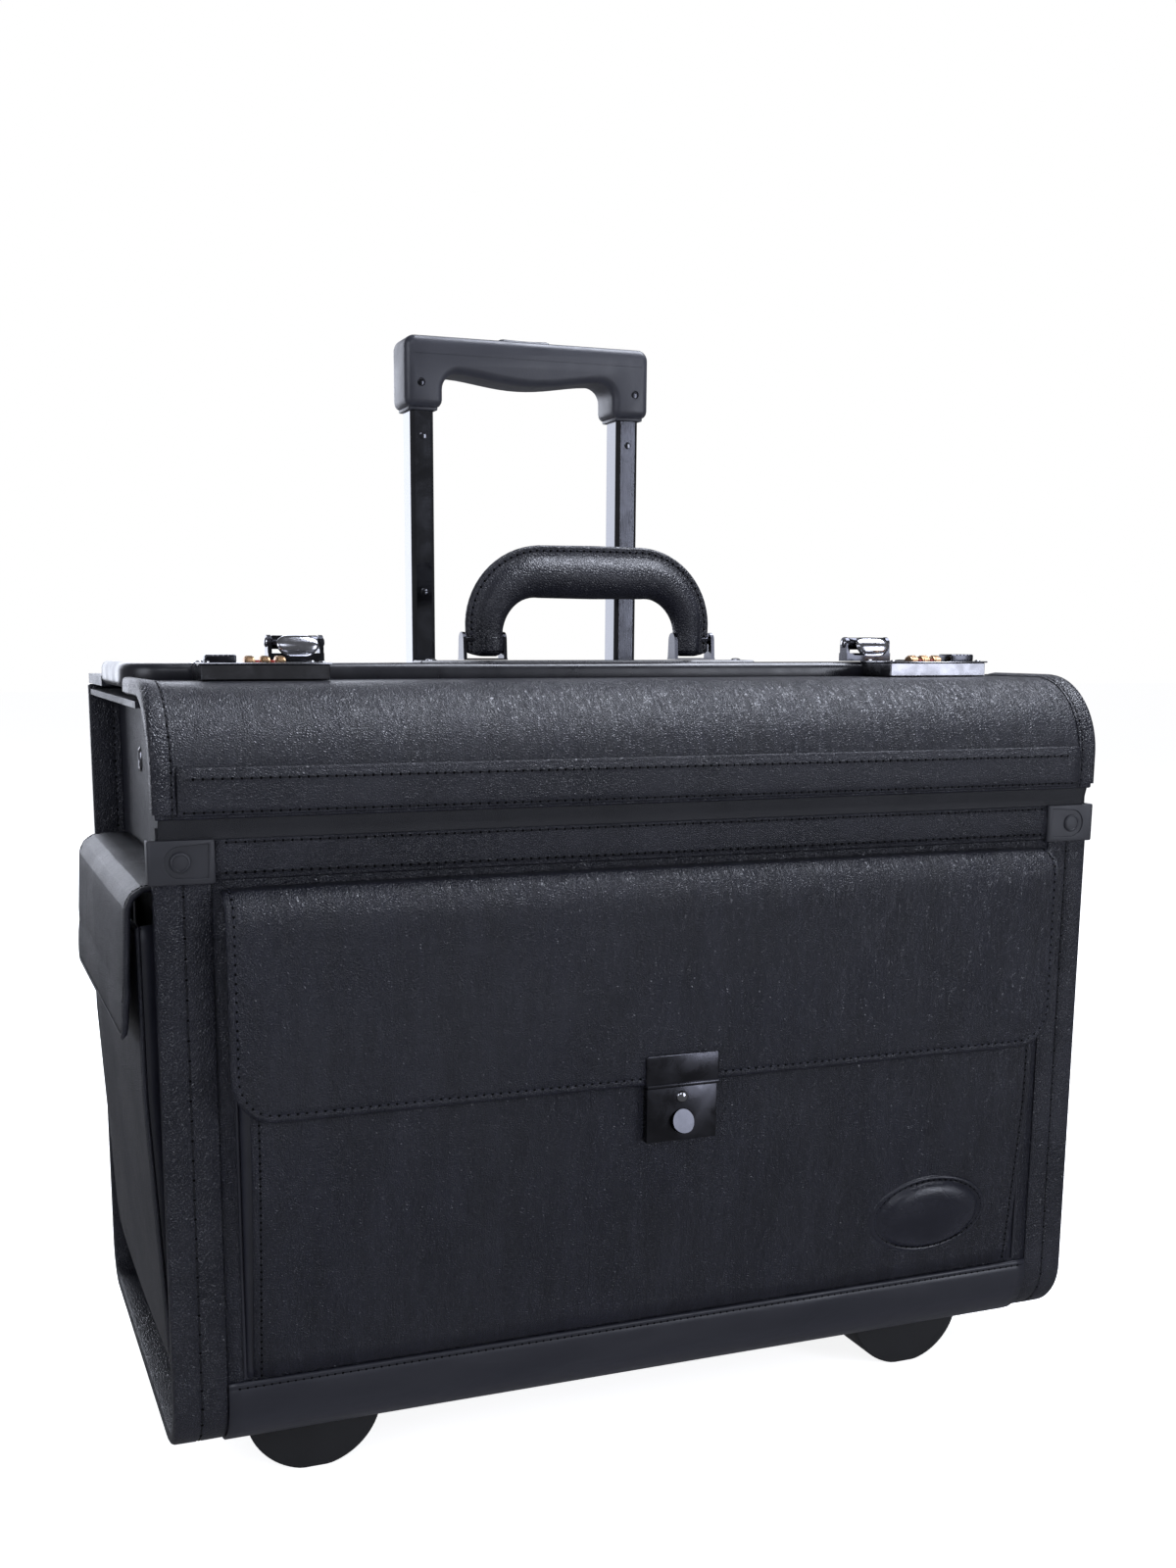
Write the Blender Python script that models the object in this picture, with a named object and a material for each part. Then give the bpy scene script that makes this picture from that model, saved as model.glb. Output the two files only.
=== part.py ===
"""Pilot rolling flight case: two top lids, pockets, telescopic trolley, feet and wheels.

Units are metres and +Z is up.  The origin is on the floor, under the middle of the
object's bounding box.  +X runs along the long side, and the front, with its pocket,
faces -Y.  Most depths are measured back from the case's front plane, and most heights
up from the case's bottom, by at_y() and at_z().
"""
import math

import bmesh
import bpy
from mathutils import Matrix, Vector

# ---------------------------------------------------------------- driving dimensions
CASE_WIDTH = 0.470
CASE_DEPTH = 0.237
GROUND_CLEARANCE = 0.033
HALF_WIDTH = CASE_WIDTH / 2
FRONT_Y = -CASE_DEPTH / 2
BACK_Y = CASE_DEPTH / 2
GAP = 0.0003

BOARD = 0.004
FRONT_EDGE_RADIUS = 0.028
BACK_EDGE_RADIUS = 0.020
FRONT_BOARD_TOP = 0.2745
END_PANEL_RECESS = 0.015
END_PANEL_TOP = 0.3325

LID_BOARD = 0.005
LID_TOP = 0.3405
LID_FRONT = -0.004
LID_BOTTOM = 0.2855
LID_SHOULDER_RADIUS = 0.038
LID_SPLIT = 0.0785
FRONT_HINGE_DEPTH = 0.0
FRONT_HINGE_HEIGHT = 0.2825

RAIL_FRONT = 0.0797
RAIL_DEPTH = 0.0130
RAIL_BOTTOM = 0.3365
RAIL_TOP = 0.3480
BACK_LID_END = 0.1705
BACK_HINGE_DEPTH = 0.1715
BACK_HINGE_HEIGHT = 0.3400
STRIP_START = 0.1728
SIDE_FRAME_WIDTH = 0.0095

BRACKET_BOTTOM = 0.2590
BRACKET_TOP = 0.2765
BRACKET_REACH = 0.0250
BRACKET_SKIN = 0.0022
RIVET_RADIUS = 0.0042

LOCK_CENTRE_X = 0.176
LOCK_WIDTH = 0.058
LOCK_FRONT = 0.0495
LOCK_BACK = 0.0775
LOCK_HEIGHT = 0.0072
DIAL_RADIUS = 0.0046
DIAL_WIDTH = 0.0046
DIAL_PITCH = 0.0070
DIAL_MIDDLE_X = 0.1745
DIAL_AXIS_HEIGHT = 0.3470
DIAL_AXIS_DEPTH = 0.0620
SLIDE_CENTRE_X = 0.1955
HASP_CENTRE_X = 0.155
HASP_WIDTH = 0.022
HASP_AXIS_DEPTH = 0.0880
HASP_AXIS_HEIGHT = 0.3575

HANDLE_DEPTH = 0.1000
HANDLE_HALF_SPAN = 0.0575
HANDLE_PIVOT_HEIGHT = 0.3590
HANDLE_TOP = 0.4050
HANDLE_RADIUS = 0.0090
HANDLE_TOP_SWELL = 1.40
HANDLE_CORNER_RADIUS = 0.024
HANDLE_PIN_RADIUS = 0.0020
HANDLE_PLATE_HALF = 0.092
HANDLE_PLATE_TOP = 0.3488

TUBE_X = 0.060
TUBE_DEPTH = 0.200
SLEEVE_SIZE = (0.0200, 0.0240)
MIDDLE_SIZE = (0.0164, 0.0204)
INNER_SIZE = (0.0130, 0.0170)
TUBE_WALL = 0.0013
COVER_FRONT = 0.1800
COVER_TOP = 0.3300
DIVIDER_FRONT = 0.0950
DIVIDER_TOP = 0.2500
LINING_BOARD = 0.0025
BEZEL_PLUG_HALF = (0.0776, 0.0149)
BEZEL_THICKNESS = 0.0040
SLEEVE_BOTTOM = 0.0120
SLEEVE_TOP = 0.3305
MIDDLE_BOTTOM = 0.0220
MIDDLE_TOP = 0.3370
INNER_BOTTOM = 0.1620
GRIP_BOTTOM = 0.4810
GRIP_TOP = 0.5180
GRIP_HALF_WIDTH = 0.0705
GRIP_LEG = 0.0210
GRIP_DEPTH = 0.0270
GRIP_BAR_UNDERSIDE = 0.4990
SOCKET_DEPTH = 0.0140
BUTTON_TRAVEL = 0.0035

POCKET_HALF_WIDTH = 0.2005
POCKET_BOTTOM = 0.0360
POCKET_TOP = 0.2450
POCKET_FRONT = -0.0125
POCKET_KNEE = 0.1280
POCKET_FOOT_FRONT = -0.0015
POCKET_WALL = 0.0025
FLAP_HALF_WIDTH = 0.2090
FLAP_TOP = 0.2575
FLAP_BOTTOM = 0.1560
FLAP_FRONT = -0.0165
FLAP_THICKNESS = 0.0030
FLAP_CORNER_RADIUS = 0.020
FLAP_FOLD_RADIUS = 0.012
TUCK_HALF_WIDTH = 0.0185
TUCK_KNOB_HEIGHT = 0.1380
TUCK_KNOB_RADIUS = 0.0056
BADGE_X = 0.1458
BADGE_HEIGHT = 0.0704
BADGE_HALF = (0.0340, 0.0208)
BADGE_THICKNESS = 0.0035

END_POCKET_FRONT = 0.0080
END_POCKET_BACK = 0.2050
END_POCKET_BOTTOM = 0.0300
END_POCKET_TOP = 0.2400
END_POCKET_REACH_LOW = 0.2350
END_POCKET_REACH_HIGH = 0.2425
END_FLAP_TOP = 0.2575
END_FLAP_BOTTOM = 0.1900
END_FLAP_FOLD_X = 0.2360
END_FLAP_HEM_X = 0.2500
# One end alone has a pocket, so the case's own middle stands off the middle of its bounding box.
CASE_MIDDLE_X = (END_FLAP_HEM_X - (HALF_WIDTH + GAP + BRACKET_SKIN)) / 2

FOOT_RADIUS = 0.0333
FOOT_X = 0.165
FOOT_FRONT = 0.0370
FOOT_THICKNESS = 0.0280

WHEEL_RADIUS = 0.030
WHEEL_WIDTH = 0.024
WHEEL_X = 0.195
WHEEL_OVERHANG = 0.0215
WHEEL_BORE = 0.0034
AXLE_RADIUS = 0.0030
WHEEL_CLEARANCE = 0.0035
HOUSING_HALF_WIDTH = 0.0205
HOUSING_WALL = 0.0055
HOUSING_REACH = 0.050
HOUSING_HEIGHT = 0.039

# ---------------------------------------------------------------- finishes
FINISHES = {
    "leatherette": ((0.012, 0.013, 0.019), 0.38, 0.0),
    "pebble_leather": ((0.014, 0.015, 0.020), 0.45, 0.0),
    "lining_board": ((0.030, 0.031, 0.038), 0.85, 0.0),
    "matte_plastic": ((0.020, 0.021, 0.026), 0.55, 0.0),
    "rubber": ((0.010, 0.010, 0.011), 0.80, 0.0),
    "black_steel": ((0.010, 0.010, 0.013), 0.12, 0.6),
    "gunmetal": ((0.12, 0.12, 0.14), 0.18, 1.0),
    "chrome": ((0.55, 0.55, 0.58), 0.10, 1.0),
    "brass": ((0.42, 0.27, 0.16), 0.35, 0.9),
    "steel": ((0.35, 0.35, 0.37), 0.30, 1.0),
}


def at_y(depth):
    """World y of a depth behind the case's front plane."""
    return FRONT_Y + depth


def at_z(height):
    """World z of a height above the case's bottom."""
    return GROUND_CLEARANCE + height


# ---------------------------------------------------------------- scene helpers
def clear_scene():
    for obj in list(bpy.data.objects):
        bpy.data.objects.remove(obj, do_unlink=True)


def finish_material(node_name, finish):
    colour, roughness, metallic = FINISHES[finish]
    material = bpy.data.materials.new(node_name + "_" + finish)
    material.use_nodes = True
    shader = material.node_tree.nodes["Principled BSDF"]
    shader.inputs["Base Color"].default_value = (*colour, 1.0)
    shader.inputs["Roughness"].default_value = roughness
    shader.inputs["Metallic"].default_value = metallic
    material.diffuse_color = (*colour, 1.0)
    return material


def add_object(name, bm, finish, origin=(0.0, 0.0, 0.0), smooth_angle=None):
    """Turn a bmesh, measured from the case's own middle, into an object whose origin is at origin."""
    bmesh.ops.translate(bm, verts=bm.verts, vec=-Vector(origin))
    bmesh.ops.recalc_face_normals(bm, faces=bm.faces)
    mesh = bpy.data.meshes.new(name)
    bm.to_mesh(mesh)
    bm.free()
    obj = bpy.data.objects.new(name, mesh)
    obj.location = Vector(origin) + Vector((CASE_MIDDLE_X, 0.0, 0.0))
    bpy.context.scene.collection.objects.link(obj)
    mesh.materials.append(finish_material(name, finish))
    if smooth_angle is not None:
        mesh.shade_smooth()
        mesh.set_sharp_from_angle(angle=math.radians(smooth_angle))
    return obj


def combine(target, bm, operation):
    """Cut, join or intersect target with a bmesh, which becomes a hidden tool object."""
    tool = add_object(target.name + "_tool_%d" % len(target.modifiers), bm, "lining_board")
    tool.hide_render = True
    tool.display_type = "WIRE"
    tool.hide_set(True)
    modifier = target.modifiers.new(operation.lower(), "BOOLEAN")
    modifier.operation = operation
    modifier.solver = "EXACT"
    modifier.object = tool


# ---------------------------------------------------------------- outlines and solids
def arc(centre, radius, start, end, steps):
    """Points of a circular arc, angles in degrees."""
    points = []
    for step in range(steps + 1):
        angle = math.radians(start + (end - start) * step / steps)
        points.append((centre[0] + radius * math.cos(angle), centre[1] + radius * math.sin(angle)))
    return points


def rounded_rectangle(centre, size, radius, steps=2):
    points = []
    for quadrant in range(4):
        sign_u = (1, -1, -1, 1)[quadrant]
        sign_v = (1, 1, -1, -1)[quadrant]
        corner = (centre[0] + sign_u * (size[0] / 2 - radius),
                  centre[1] + sign_v * (size[1] / 2 - radius))
        points += arc(corner, radius, 90 * quadrant, 90 * quadrant + 90, steps)
    return points


def prism(outline, axis, start, end):
    """Extrude an outline along an axis.

    The outline is in (y, z) for axis X, in (x, z) for axis Y and in (x, y) for axis Z.
    """
    def lift(point):
        first, second = point
        return {"X": (start, first, second),
                "Y": (first, start, second),
                "Z": (first, second, start)}[axis]

    bm = bmesh.new()
    face = bm.faces.new([bm.verts.new(lift(point)) for point in outline])
    extruded = bmesh.ops.extrude_face_region(bm, geom=[face])
    moved = [item for item in extruded["geom"] if isinstance(item, bmesh.types.BMVert)]
    direction = {"X": (1, 0, 0), "Y": (0, 1, 0), "Z": (0, 0, 1)}[axis]
    bmesh.ops.translate(bm, verts=moved, vec=Vector(direction) * (end - start))
    return bm


def block(low, high):
    bm = bmesh.new()
    size = Vector(high) - Vector(low)
    middle = (Vector(high) + Vector(low)) / 2
    bmesh.ops.create_cube(bm, size=1.0, matrix=Matrix.Translation(middle) @ Matrix.Diagonal((*size, 1.0)))
    return bm


def cylinder(centre, radius, length, axis, segments=20, end_radius=None):
    """A cylinder, or a cone frustum, centred on centre and pointing along axis."""
    bm = bmesh.new()
    turn = {"X": Matrix.Rotation(math.radians(90), 4, "Y"),
            "Y": Matrix.Rotation(math.radians(-90), 4, "X"),
            "Z": Matrix.Identity(4)}[axis]
    tip = radius if end_radius is None else end_radius
    bmesh.ops.create_cone(bm, cap_ends=True, segments=segments, radius1=radius, radius2=tip,
                          depth=length, matrix=Matrix.Translation(centre) @ turn)
    return bm


def bevel_all(bm, width, segments=1, min_angle=30.0):
    """Round or chamfer every edge that turns by more than min_angle."""
    bmesh.ops.recalc_face_normals(bm, faces=bm.faces)
    limit = math.radians(min_angle)
    edges = [edge for edge in bm.edges if edge.calc_face_angle(0.0) > limit]
    bmesh.ops.bevel(bm, geom=edges, offset=width, segments=segments, profile=0.5,
                    affect="EDGES", offset_type="OFFSET", clamp_overlap=True, material=-1)
    return bm


def band(outer, inner):
    """Close an open outer line and its open inner offset into one outline."""
    return outer + list(reversed(inner))


def mirrored(side, low_x, high_x):
    """X limits on the given side of the middle, lowest first."""
    limits = sorted((side * low_x, side * high_x))
    return limits[0], limits[1]


SIDES = (("left", -1), ("right", 1))
POCKET_SIDES = SIDES[:1]


# ---------------------------------------------------------------- case body
def shell_line(inset):
    """The front, bottom and back of the case as one line, inset from the outside."""
    front = arc((at_y(FRONT_EDGE_RADIUS), at_z(FRONT_EDGE_RADIUS)), FRONT_EDGE_RADIUS - inset, 180, 270, 7)
    back = arc((BACK_Y - BACK_EDGE_RADIUS, at_z(BACK_EDGE_RADIUS)), BACK_EDGE_RADIUS - inset, 270, 360, 5)
    top_front = (at_y(inset), at_z(FRONT_BOARD_TOP))
    top_back = (BACK_Y - inset, at_z(LID_TOP - LID_BOARD - 2 * GAP))
    return [top_front] + front + back + [top_back]


def wheel_centre():
    """Depth and height of the wheels' axis in world coordinates."""
    return BACK_Y + WHEEL_OVERHANG - WHEEL_RADIUS, WHEEL_RADIUS


def make_body_shell():
    outline = band(shell_line(0.0), shell_line(BOARD))
    shell = add_object("body_shell", prism(outline, "X", -HALF_WIDTH, HALF_WIDTH), "leatherette",
                       smooth_angle=30)
    for _, side in SIDES:
        low_x, high_x = mirrored(side, WHEEL_X - HOUSING_HALF_WIDTH - GAP, WHEEL_X + HOUSING_HALF_WIDTH + GAP)
        notch = block((low_x, BACK_Y - HOUSING_REACH, 0.0), (high_x, BACK_Y + 0.02, at_z(HOUSING_HEIGHT)))
        combine(shell, notch, "DIFFERENCE")


def make_end_panels():
    inset = BOARD + GAP
    top_corner = 0.030
    outline = shell_line(inset)[1:-1]
    outline.append((BACK_Y - inset, at_z(END_PANEL_TOP)))
    outline += arc((at_y(inset + top_corner), at_z(END_PANEL_TOP - top_corner)), top_corner, 90, 180, 5)
    panel_x = HALF_WIDTH - END_PANEL_RECESS
    for name, side in SIDES:
        low_x, high_x = mirrored(side, panel_x - BOARD, panel_x)
        panel = add_object("end_panel_" + name, prism(outline, "X", low_x, high_x), "leatherette")
        low_x, high_x = mirrored(side, panel_x - BOARD / 2, HALF_WIDTH)
        lip = block((low_x, at_y(0.040), at_z(END_PANEL_TOP - 0.003)),
                    (high_x, BACK_Y - inset, at_z(END_PANEL_TOP)))
        combine(panel, lip, "UNION")


def make_corner_brackets():
    """Moulded corners that wrap the case's front edges beside the lid's hinge line."""
    wing = 0.0052
    for name, side in SIDES:
        outer = HALF_WIDTH + GAP + BRACKET_SKIN
        inner = HALF_WIDTH + GAP
        front = -GAP - BRACKET_SKIN
        outline = [(side * (HALF_WIDTH - BRACKET_REACH), at_y(front)), (side * outer, at_y(front)),
                   (side * outer, at_y(wing)), (side * inner, at_y(wing)),
                   (side * inner, at_y(-GAP)), (side * (HALF_WIDTH - BRACKET_REACH), at_y(-GAP))]
        bm = prism(outline, "Z", at_z(BRACKET_BOTTOM), at_z(BRACKET_TOP))
        bracket = add_object("corner_bracket_" + name, bevel_all(bm, 0.0006), "matte_plastic")
        rivet_x = side * (HALF_WIDTH - BRACKET_REACH / 2 + 0.002)
        middle = (BRACKET_BOTTOM + BRACKET_TOP) / 2
        rivet = cylinder((rivet_x, at_y(front - 0.0003), at_z(middle)), RIVET_RADIUS * 0.75, 0.0018, "Y",
                         16, RIVET_RADIUS)
        combine(bracket, rivet, "UNION")


def make_top_strip():
    """The fixed board behind the back lid, with a window for the trolley's bezel."""
    strip = add_object("top_back_strip",
                       block((-HALF_WIDTH, at_y(STRIP_START), at_z(LID_TOP - LID_BOARD)),
                             (HALF_WIDTH, BACK_Y, at_z(LID_TOP))), "leatherette")
    half_width = BEZEL_PLUG_HALF[0] + GAP
    half_depth = BEZEL_PLUG_HALF[1] + GAP
    window = block((-half_width, at_y(TUBE_DEPTH - half_depth), at_z(LID_TOP - 0.02)),
                   (half_width, at_y(TUBE_DEPTH + half_depth), at_z(LID_TOP + 0.02)))
    combine(strip, window, "DIFFERENCE")


def make_hinge_strip():
    """The flexible strip that joins the front board to the front lid."""
    low = (-HALF_WIDTH + 0.001, at_y(0.0), at_z(FRONT_BOARD_TOP + GAP))
    high = (HALF_WIDTH - 0.001, at_y(0.0022), at_z(FRONT_HINGE_HEIGHT - GAP))
    add_object("front_hinge_strip", block(low, high), "pebble_leather")


def make_interior():
    """The lining board that hides the trolley, and the divider of the main compartment."""
    half = HALF_WIDTH - END_PANEL_RECESS - BOARD - GAP
    inset = BOARD + GAP
    cover = block((-half, at_y(COVER_FRONT), at_z(inset)), (half, at_y(COVER_FRONT + LINING_BOARD), at_z(COVER_TOP)))
    add_object("trolley_cover_panel", cover, "lining_board")
    divider = block((-half, at_y(DIVIDER_FRONT), at_z(inset)), (half, at_y(DIVIDER_FRONT + LINING_BOARD), at_z(DIVIDER_TOP)))
    add_object("file_divider", divider, "lining_board")


# ---------------------------------------------------------------- lids, locks and hasps
def lid_line(inset):
    """The front lid's front, shoulder and top as one line, inset from the outside."""
    centre = (at_y(LID_FRONT + LID_SHOULDER_RADIUS), at_z(LID_TOP - LID_SHOULDER_RADIUS))
    shoulder = arc(centre, LID_SHOULDER_RADIUS - inset, 180, 90, 8)
    return ([(at_y(LID_FRONT + inset), at_z(LID_BOTTOM))] + shoulder
            + [(at_y(LID_SPLIT), at_z(LID_TOP - inset))])


def make_front_lid():
    axis_point = (0.0, at_y(FRONT_HINGE_DEPTH), at_z(FRONT_HINGE_HEIGHT))
    outline = band(lid_line(0.0), lid_line(LID_BOARD))
    add_object("front_lid_panel", prism(outline, "X", -HALF_WIDTH, HALF_WIDTH), "leatherette",
               axis_point, smooth_angle=30)


def make_lock(name, side):
    """A combination lock: its case, release slide and three number wheels."""
    base = LID_TOP + GAP
    top = base + LOCK_HEIGHT
    low_x, high_x = mirrored(side, LOCK_CENTRE_X - LOCK_WIDTH / 2, LOCK_CENTRE_X + LOCK_WIDTH / 2)
    body = bevel_all(block((low_x, at_y(LOCK_FRONT), at_z(base)), (high_x, at_y(LOCK_BACK), at_z(top))), 0.0006)
    body = add_object("lock_body_" + name, body, "gunmetal")
    for number in (1, 2, 3):
        dial_x = side * (DIAL_MIDDLE_X + (number - 2) * DIAL_PITCH)
        half = DIAL_WIDTH / 2 + GAP
        reach = DIAL_RADIUS + 2 * GAP
        slot = block((dial_x - half, at_y(DIAL_AXIS_DEPTH - reach), at_z(DIAL_AXIS_HEIGHT - reach)),
                     (dial_x + half, at_y(DIAL_AXIS_DEPTH + reach), at_z(top + 0.01)))
        combine(body, slot, "DIFFERENCE")
        axis_point = (dial_x, at_y(DIAL_AXIS_DEPTH), at_z(DIAL_AXIS_HEIGHT))
        wheel = bevel_all(cylinder(axis_point, DIAL_RADIUS, DIAL_WIDTH, "X", 20), 0.0004)
        add_object("lock_dial_%s_%d" % (name, number), wheel, "brass", axis_point, smooth_angle=30)
    travel = 0.005
    stem_half = (0.0050, 0.0020)
    low_x, high_x = mirrored(side, SLIDE_CENTRE_X - stem_half[0] - GAP,
                             SLIDE_CENTRE_X + stem_half[0] + travel / 2 + GAP)
    slot = block((low_x, at_y(DIAL_AXIS_DEPTH - stem_half[1] - GAP), at_z(top - 0.0030)),
                 (high_x, at_y(DIAL_AXIS_DEPTH + stem_half[1] + GAP), at_z(top + 0.01)))
    combine(body, slot, "DIFFERENCE")
    origin = (side * SLIDE_CENTRE_X, at_y(DIAL_AXIS_DEPTH), at_z(top))
    low_x, high_x = mirrored(side, SLIDE_CENTRE_X - stem_half[0], SLIDE_CENTRE_X + stem_half[0] - travel / 2)
    stem = block((low_x, at_y(DIAL_AXIS_DEPTH - stem_half[1]), at_z(top - 0.0030 + GAP)),
                 (high_x, at_y(DIAL_AXIS_DEPTH + stem_half[1]), at_z(top + 0.0010)))
    slide = add_object("lock_slide_" + name, stem, "gunmetal", origin)
    low_x, high_x = mirrored(side, SLIDE_CENTRE_X - 0.0075, SLIDE_CENTRE_X + 0.0065)
    knob = block((low_x, at_y(DIAL_AXIS_DEPTH - 0.0060), at_z(top + GAP)),
                 (high_x, at_y(DIAL_AXIS_DEPTH + 0.0060), at_z(top + 0.0035)))
    combine(slide, bevel_all(knob, 0.0008), "UNION")


def make_hasp(name, side):
    """The hinged plate that closes behind the lock, and the base it turns on."""
    centre_x = side * HASP_CENTRE_X
    axis_y = at_y(HASP_AXIS_DEPTH)
    axis_z = at_z(HASP_AXIS_HEIGHT)
    half = HASP_WIDTH / 2
    ear = 0.002
    pin_radius = 0.0015
    barrel_radius = 0.0032
    foot_top = at_z(RAIL_TOP + 0.0045)
    base = add_object("hasp_base_" + name,
                      block((centre_x - half - ear - GAP, axis_y - 0.0042, at_z(RAIL_TOP + GAP)),
                            (centre_x + half + ear + GAP, axis_y + 0.0042, foot_top)), "gunmetal")
    for end in (-1, 1):
        ear_x = centre_x + end * (half + GAP + ear / 2)
        outline = arc((axis_y, axis_z), 0.0034, 0, 180, 6)
        outline += [(axis_y - 0.0034, foot_top - 0.001), (axis_y + 0.0034, foot_top - 0.001)]
        combine(base, prism(outline, "X", ear_x - ear / 2, ear_x + ear / 2), "UNION")
    combine(base, cylinder((centre_x, axis_y, axis_z), pin_radius, HASP_WIDTH + 2 * ear, "X", 12), "UNION")

    nose_y = at_y(LID_SPLIT + 0.0008)
    nose_z = at_z(RAIL_TOP + 0.0008)
    thickness = 0.0016
    bend_radius = 0.0050
    bend = (nose_y + bend_radius, axis_z + barrel_radius - bend_radius)
    outer = [(nose_y, nose_z)] + arc(bend, bend_radius, 180, 90, 5) + [(axis_y, axis_z + barrel_radius)]
    inner = ([(nose_y + thickness, nose_z)] + arc(bend, bend_radius - thickness, 180, 90, 5)
             + [(axis_y, axis_z + barrel_radius - thickness)])
    plate = prism(band(outer, inner), "X", centre_x - half, centre_x + half)
    hasp = add_object("hasp_" + name, plate, "chrome", (centre_x, axis_y, axis_z), smooth_angle=40)
    combine(hasp, cylinder((centre_x, axis_y, axis_z), barrel_radius, HASP_WIDTH, "X", 18), "UNION")
    combine(hasp, cylinder((centre_x, axis_y, axis_z), pin_radius + GAP, HASP_WIDTH + 0.01, "X", 12), "DIFFERENCE")


def make_back_lid():
    """The back lid: its board, the moulded rail in front and the side frames."""
    axis_point = (0.0, at_y(BACK_HINGE_DEPTH), at_z(BACK_HINGE_HEIGHT))
    rail_outline = rounded_rectangle((at_y(RAIL_FRONT + RAIL_DEPTH / 2), at_z((RAIL_BOTTOM + RAIL_TOP) / 2)),
                                     (RAIL_DEPTH, RAIL_TOP - RAIL_BOTTOM), 0.0045, 4)
    add_object("top_rail", prism(rail_outline, "X", -HALF_WIDTH, HALF_WIDTH), "matte_plastic",
               axis_point, smooth_angle=35)
    board_front = RAIL_FRONT + RAIL_DEPTH + GAP
    half = HALF_WIDTH - SIDE_FRAME_WIDTH - GAP
    board = block((-half, at_y(board_front), at_z(LID_TOP - LID_BOARD)),
                  (half, at_y(BACK_LID_END), at_z(LID_TOP)))
    add_object("back_lid_panel", board, "leatherette", axis_point)
    for name, side in SIDES:
        middle_x = side * (HALF_WIDTH - SIDE_FRAME_WIDTH / 2)
        outline = rounded_rectangle((middle_x, at_z((RAIL_BOTTOM + RAIL_TOP) / 2)),
                                    (SIDE_FRAME_WIDTH, RAIL_TOP - RAIL_BOTTOM), 0.0035, 3)
        frame = prism(outline, "Y", at_y(board_front), at_y(BACK_LID_END))
        add_object("back_lid_frame_" + name, frame, "matte_plastic", axis_point, smooth_angle=35)


# ---------------------------------------------------------------- carry handle
def handle_path():
    """Centre line of the padded grip, from the left post's foot to the right one's."""
    centre_top = HANDLE_TOP - HANDLE_RADIUS * HANDLE_TOP_SWELL
    corner = HANDLE_CORNER_RADIUS
    left_x = -HANDLE_HALF_SPAN
    foot = HANDLE_PIVOT_HEIGHT - HANDLE_RADIUS
    points = [(left_x, foot + 0.0004, 0.25), (left_x, foot + 0.0024, 0.66), (left_x, foot + 0.0055, 0.90),
              (left_x, HANDLE_PIVOT_HEIGHT, 0.98), (left_x, HANDLE_PIVOT_HEIGHT + 0.002, 1.0)]
    for x, z in arc((left_x + corner, centre_top - corner), corner, 180, 90, 6):
        rise = (z - (centre_top - corner)) / corner
        points.append((x, z, 1.0 + (HANDLE_TOP_SWELL - 1.0) * rise))
    points.append((0.0, centre_top + 0.0004, HANDLE_TOP_SWELL))
    points += [(-x, z, swell) for x, z, swell in reversed(points[:-1])]
    return points


def make_carry_handle():
    curve = bpy.data.curves.new("carry_handle_path", "CURVE")
    curve.dimensions = "3D"
    curve.bevel_depth = HANDLE_RADIUS
    curve.bevel_resolution = 2
    curve.use_fill_caps = True
    points = handle_path()
    spline = curve.splines.new("POLY")
    spline.points.add(len(points) - 1)
    for target, (x, height, swell) in zip(spline.points, points):
        target.co = (x, at_y(HANDLE_DEPTH), at_z(height), 1.0)
        target.radius = swell
    guide = bpy.data.objects.new("carry_handle_guide", curve)
    bpy.context.scene.collection.objects.link(guide)
    graph = bpy.context.evaluated_depsgraph_get()
    swept = bpy.data.meshes.new_from_object(guide.evaluated_get(graph))
    bpy.data.objects.remove(guide, do_unlink=True)
    bm = bmesh.new()
    bm.from_mesh(swept)
    bpy.data.meshes.remove(swept)
    bmesh.ops.remove_doubles(bm, verts=bm.verts, dist=1e-6)
    pivot = (0.0, at_y(HANDLE_DEPTH), at_z(HANDLE_PIVOT_HEIGHT))
    handle = add_object("carry_handle", bm, "pebble_leather", pivot, smooth_angle=60)
    for _, side in SIDES:
        bore = cylinder((side * HANDLE_HALF_SPAN, pivot[1], pivot[2]), HANDLE_PIN_RADIUS + GAP,
                        4 * HANDLE_RADIUS, "X", 12)
        combine(handle, bore, "DIFFERENCE")


def make_handle_mounts():
    """The plate under the handle and the ears with pins that hold its posts."""
    middle = at_y(HANDLE_DEPTH)
    plate_front = at_y(RAIL_FRONT + RAIL_DEPTH + GAP)
    plate = block((-HANDLE_PLATE_HALF, plate_front, at_z(LID_TOP + GAP)),
                  (HANDLE_PLATE_HALF, middle + 0.0090, at_z(HANDLE_PLATE_TOP)))
    add_object("handle_plate", bevel_all(plate, 0.0012), "matte_plastic")
    ear_gap = HANDLE_RADIUS + 0.0006
    ear = 0.0018
    base_low = at_z(HANDLE_PLATE_TOP + GAP)
    for name, side in SIDES:
        centre_x = side * HANDLE_HALF_SPAN
        half = ear_gap + ear
        base = add_object("handle_bracket_" + name,
                          block((centre_x - half, middle - 0.0050, base_low),
                                (centre_x + half, middle + 0.0050, base_low + 0.0007)), "gunmetal")
        for end in (-1, 1):
            ear_x = centre_x + end * (ear_gap + ear / 2)
            outline = arc((middle, at_z(HANDLE_PIVOT_HEIGHT)), 0.0038, 0, 180, 8)
            outline += [(middle - 0.0045, base_low), (middle + 0.0045, base_low)]
            combine(base, prism(outline, "X", ear_x - ear / 2, ear_x + ear / 2), "UNION")
        pin = cylinder((centre_x, middle, at_z(HANDLE_PIVOT_HEIGHT)), HANDLE_PIN_RADIUS, 2 * half - ear, "X", 12)
        combine(base, pin, "UNION")


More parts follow.
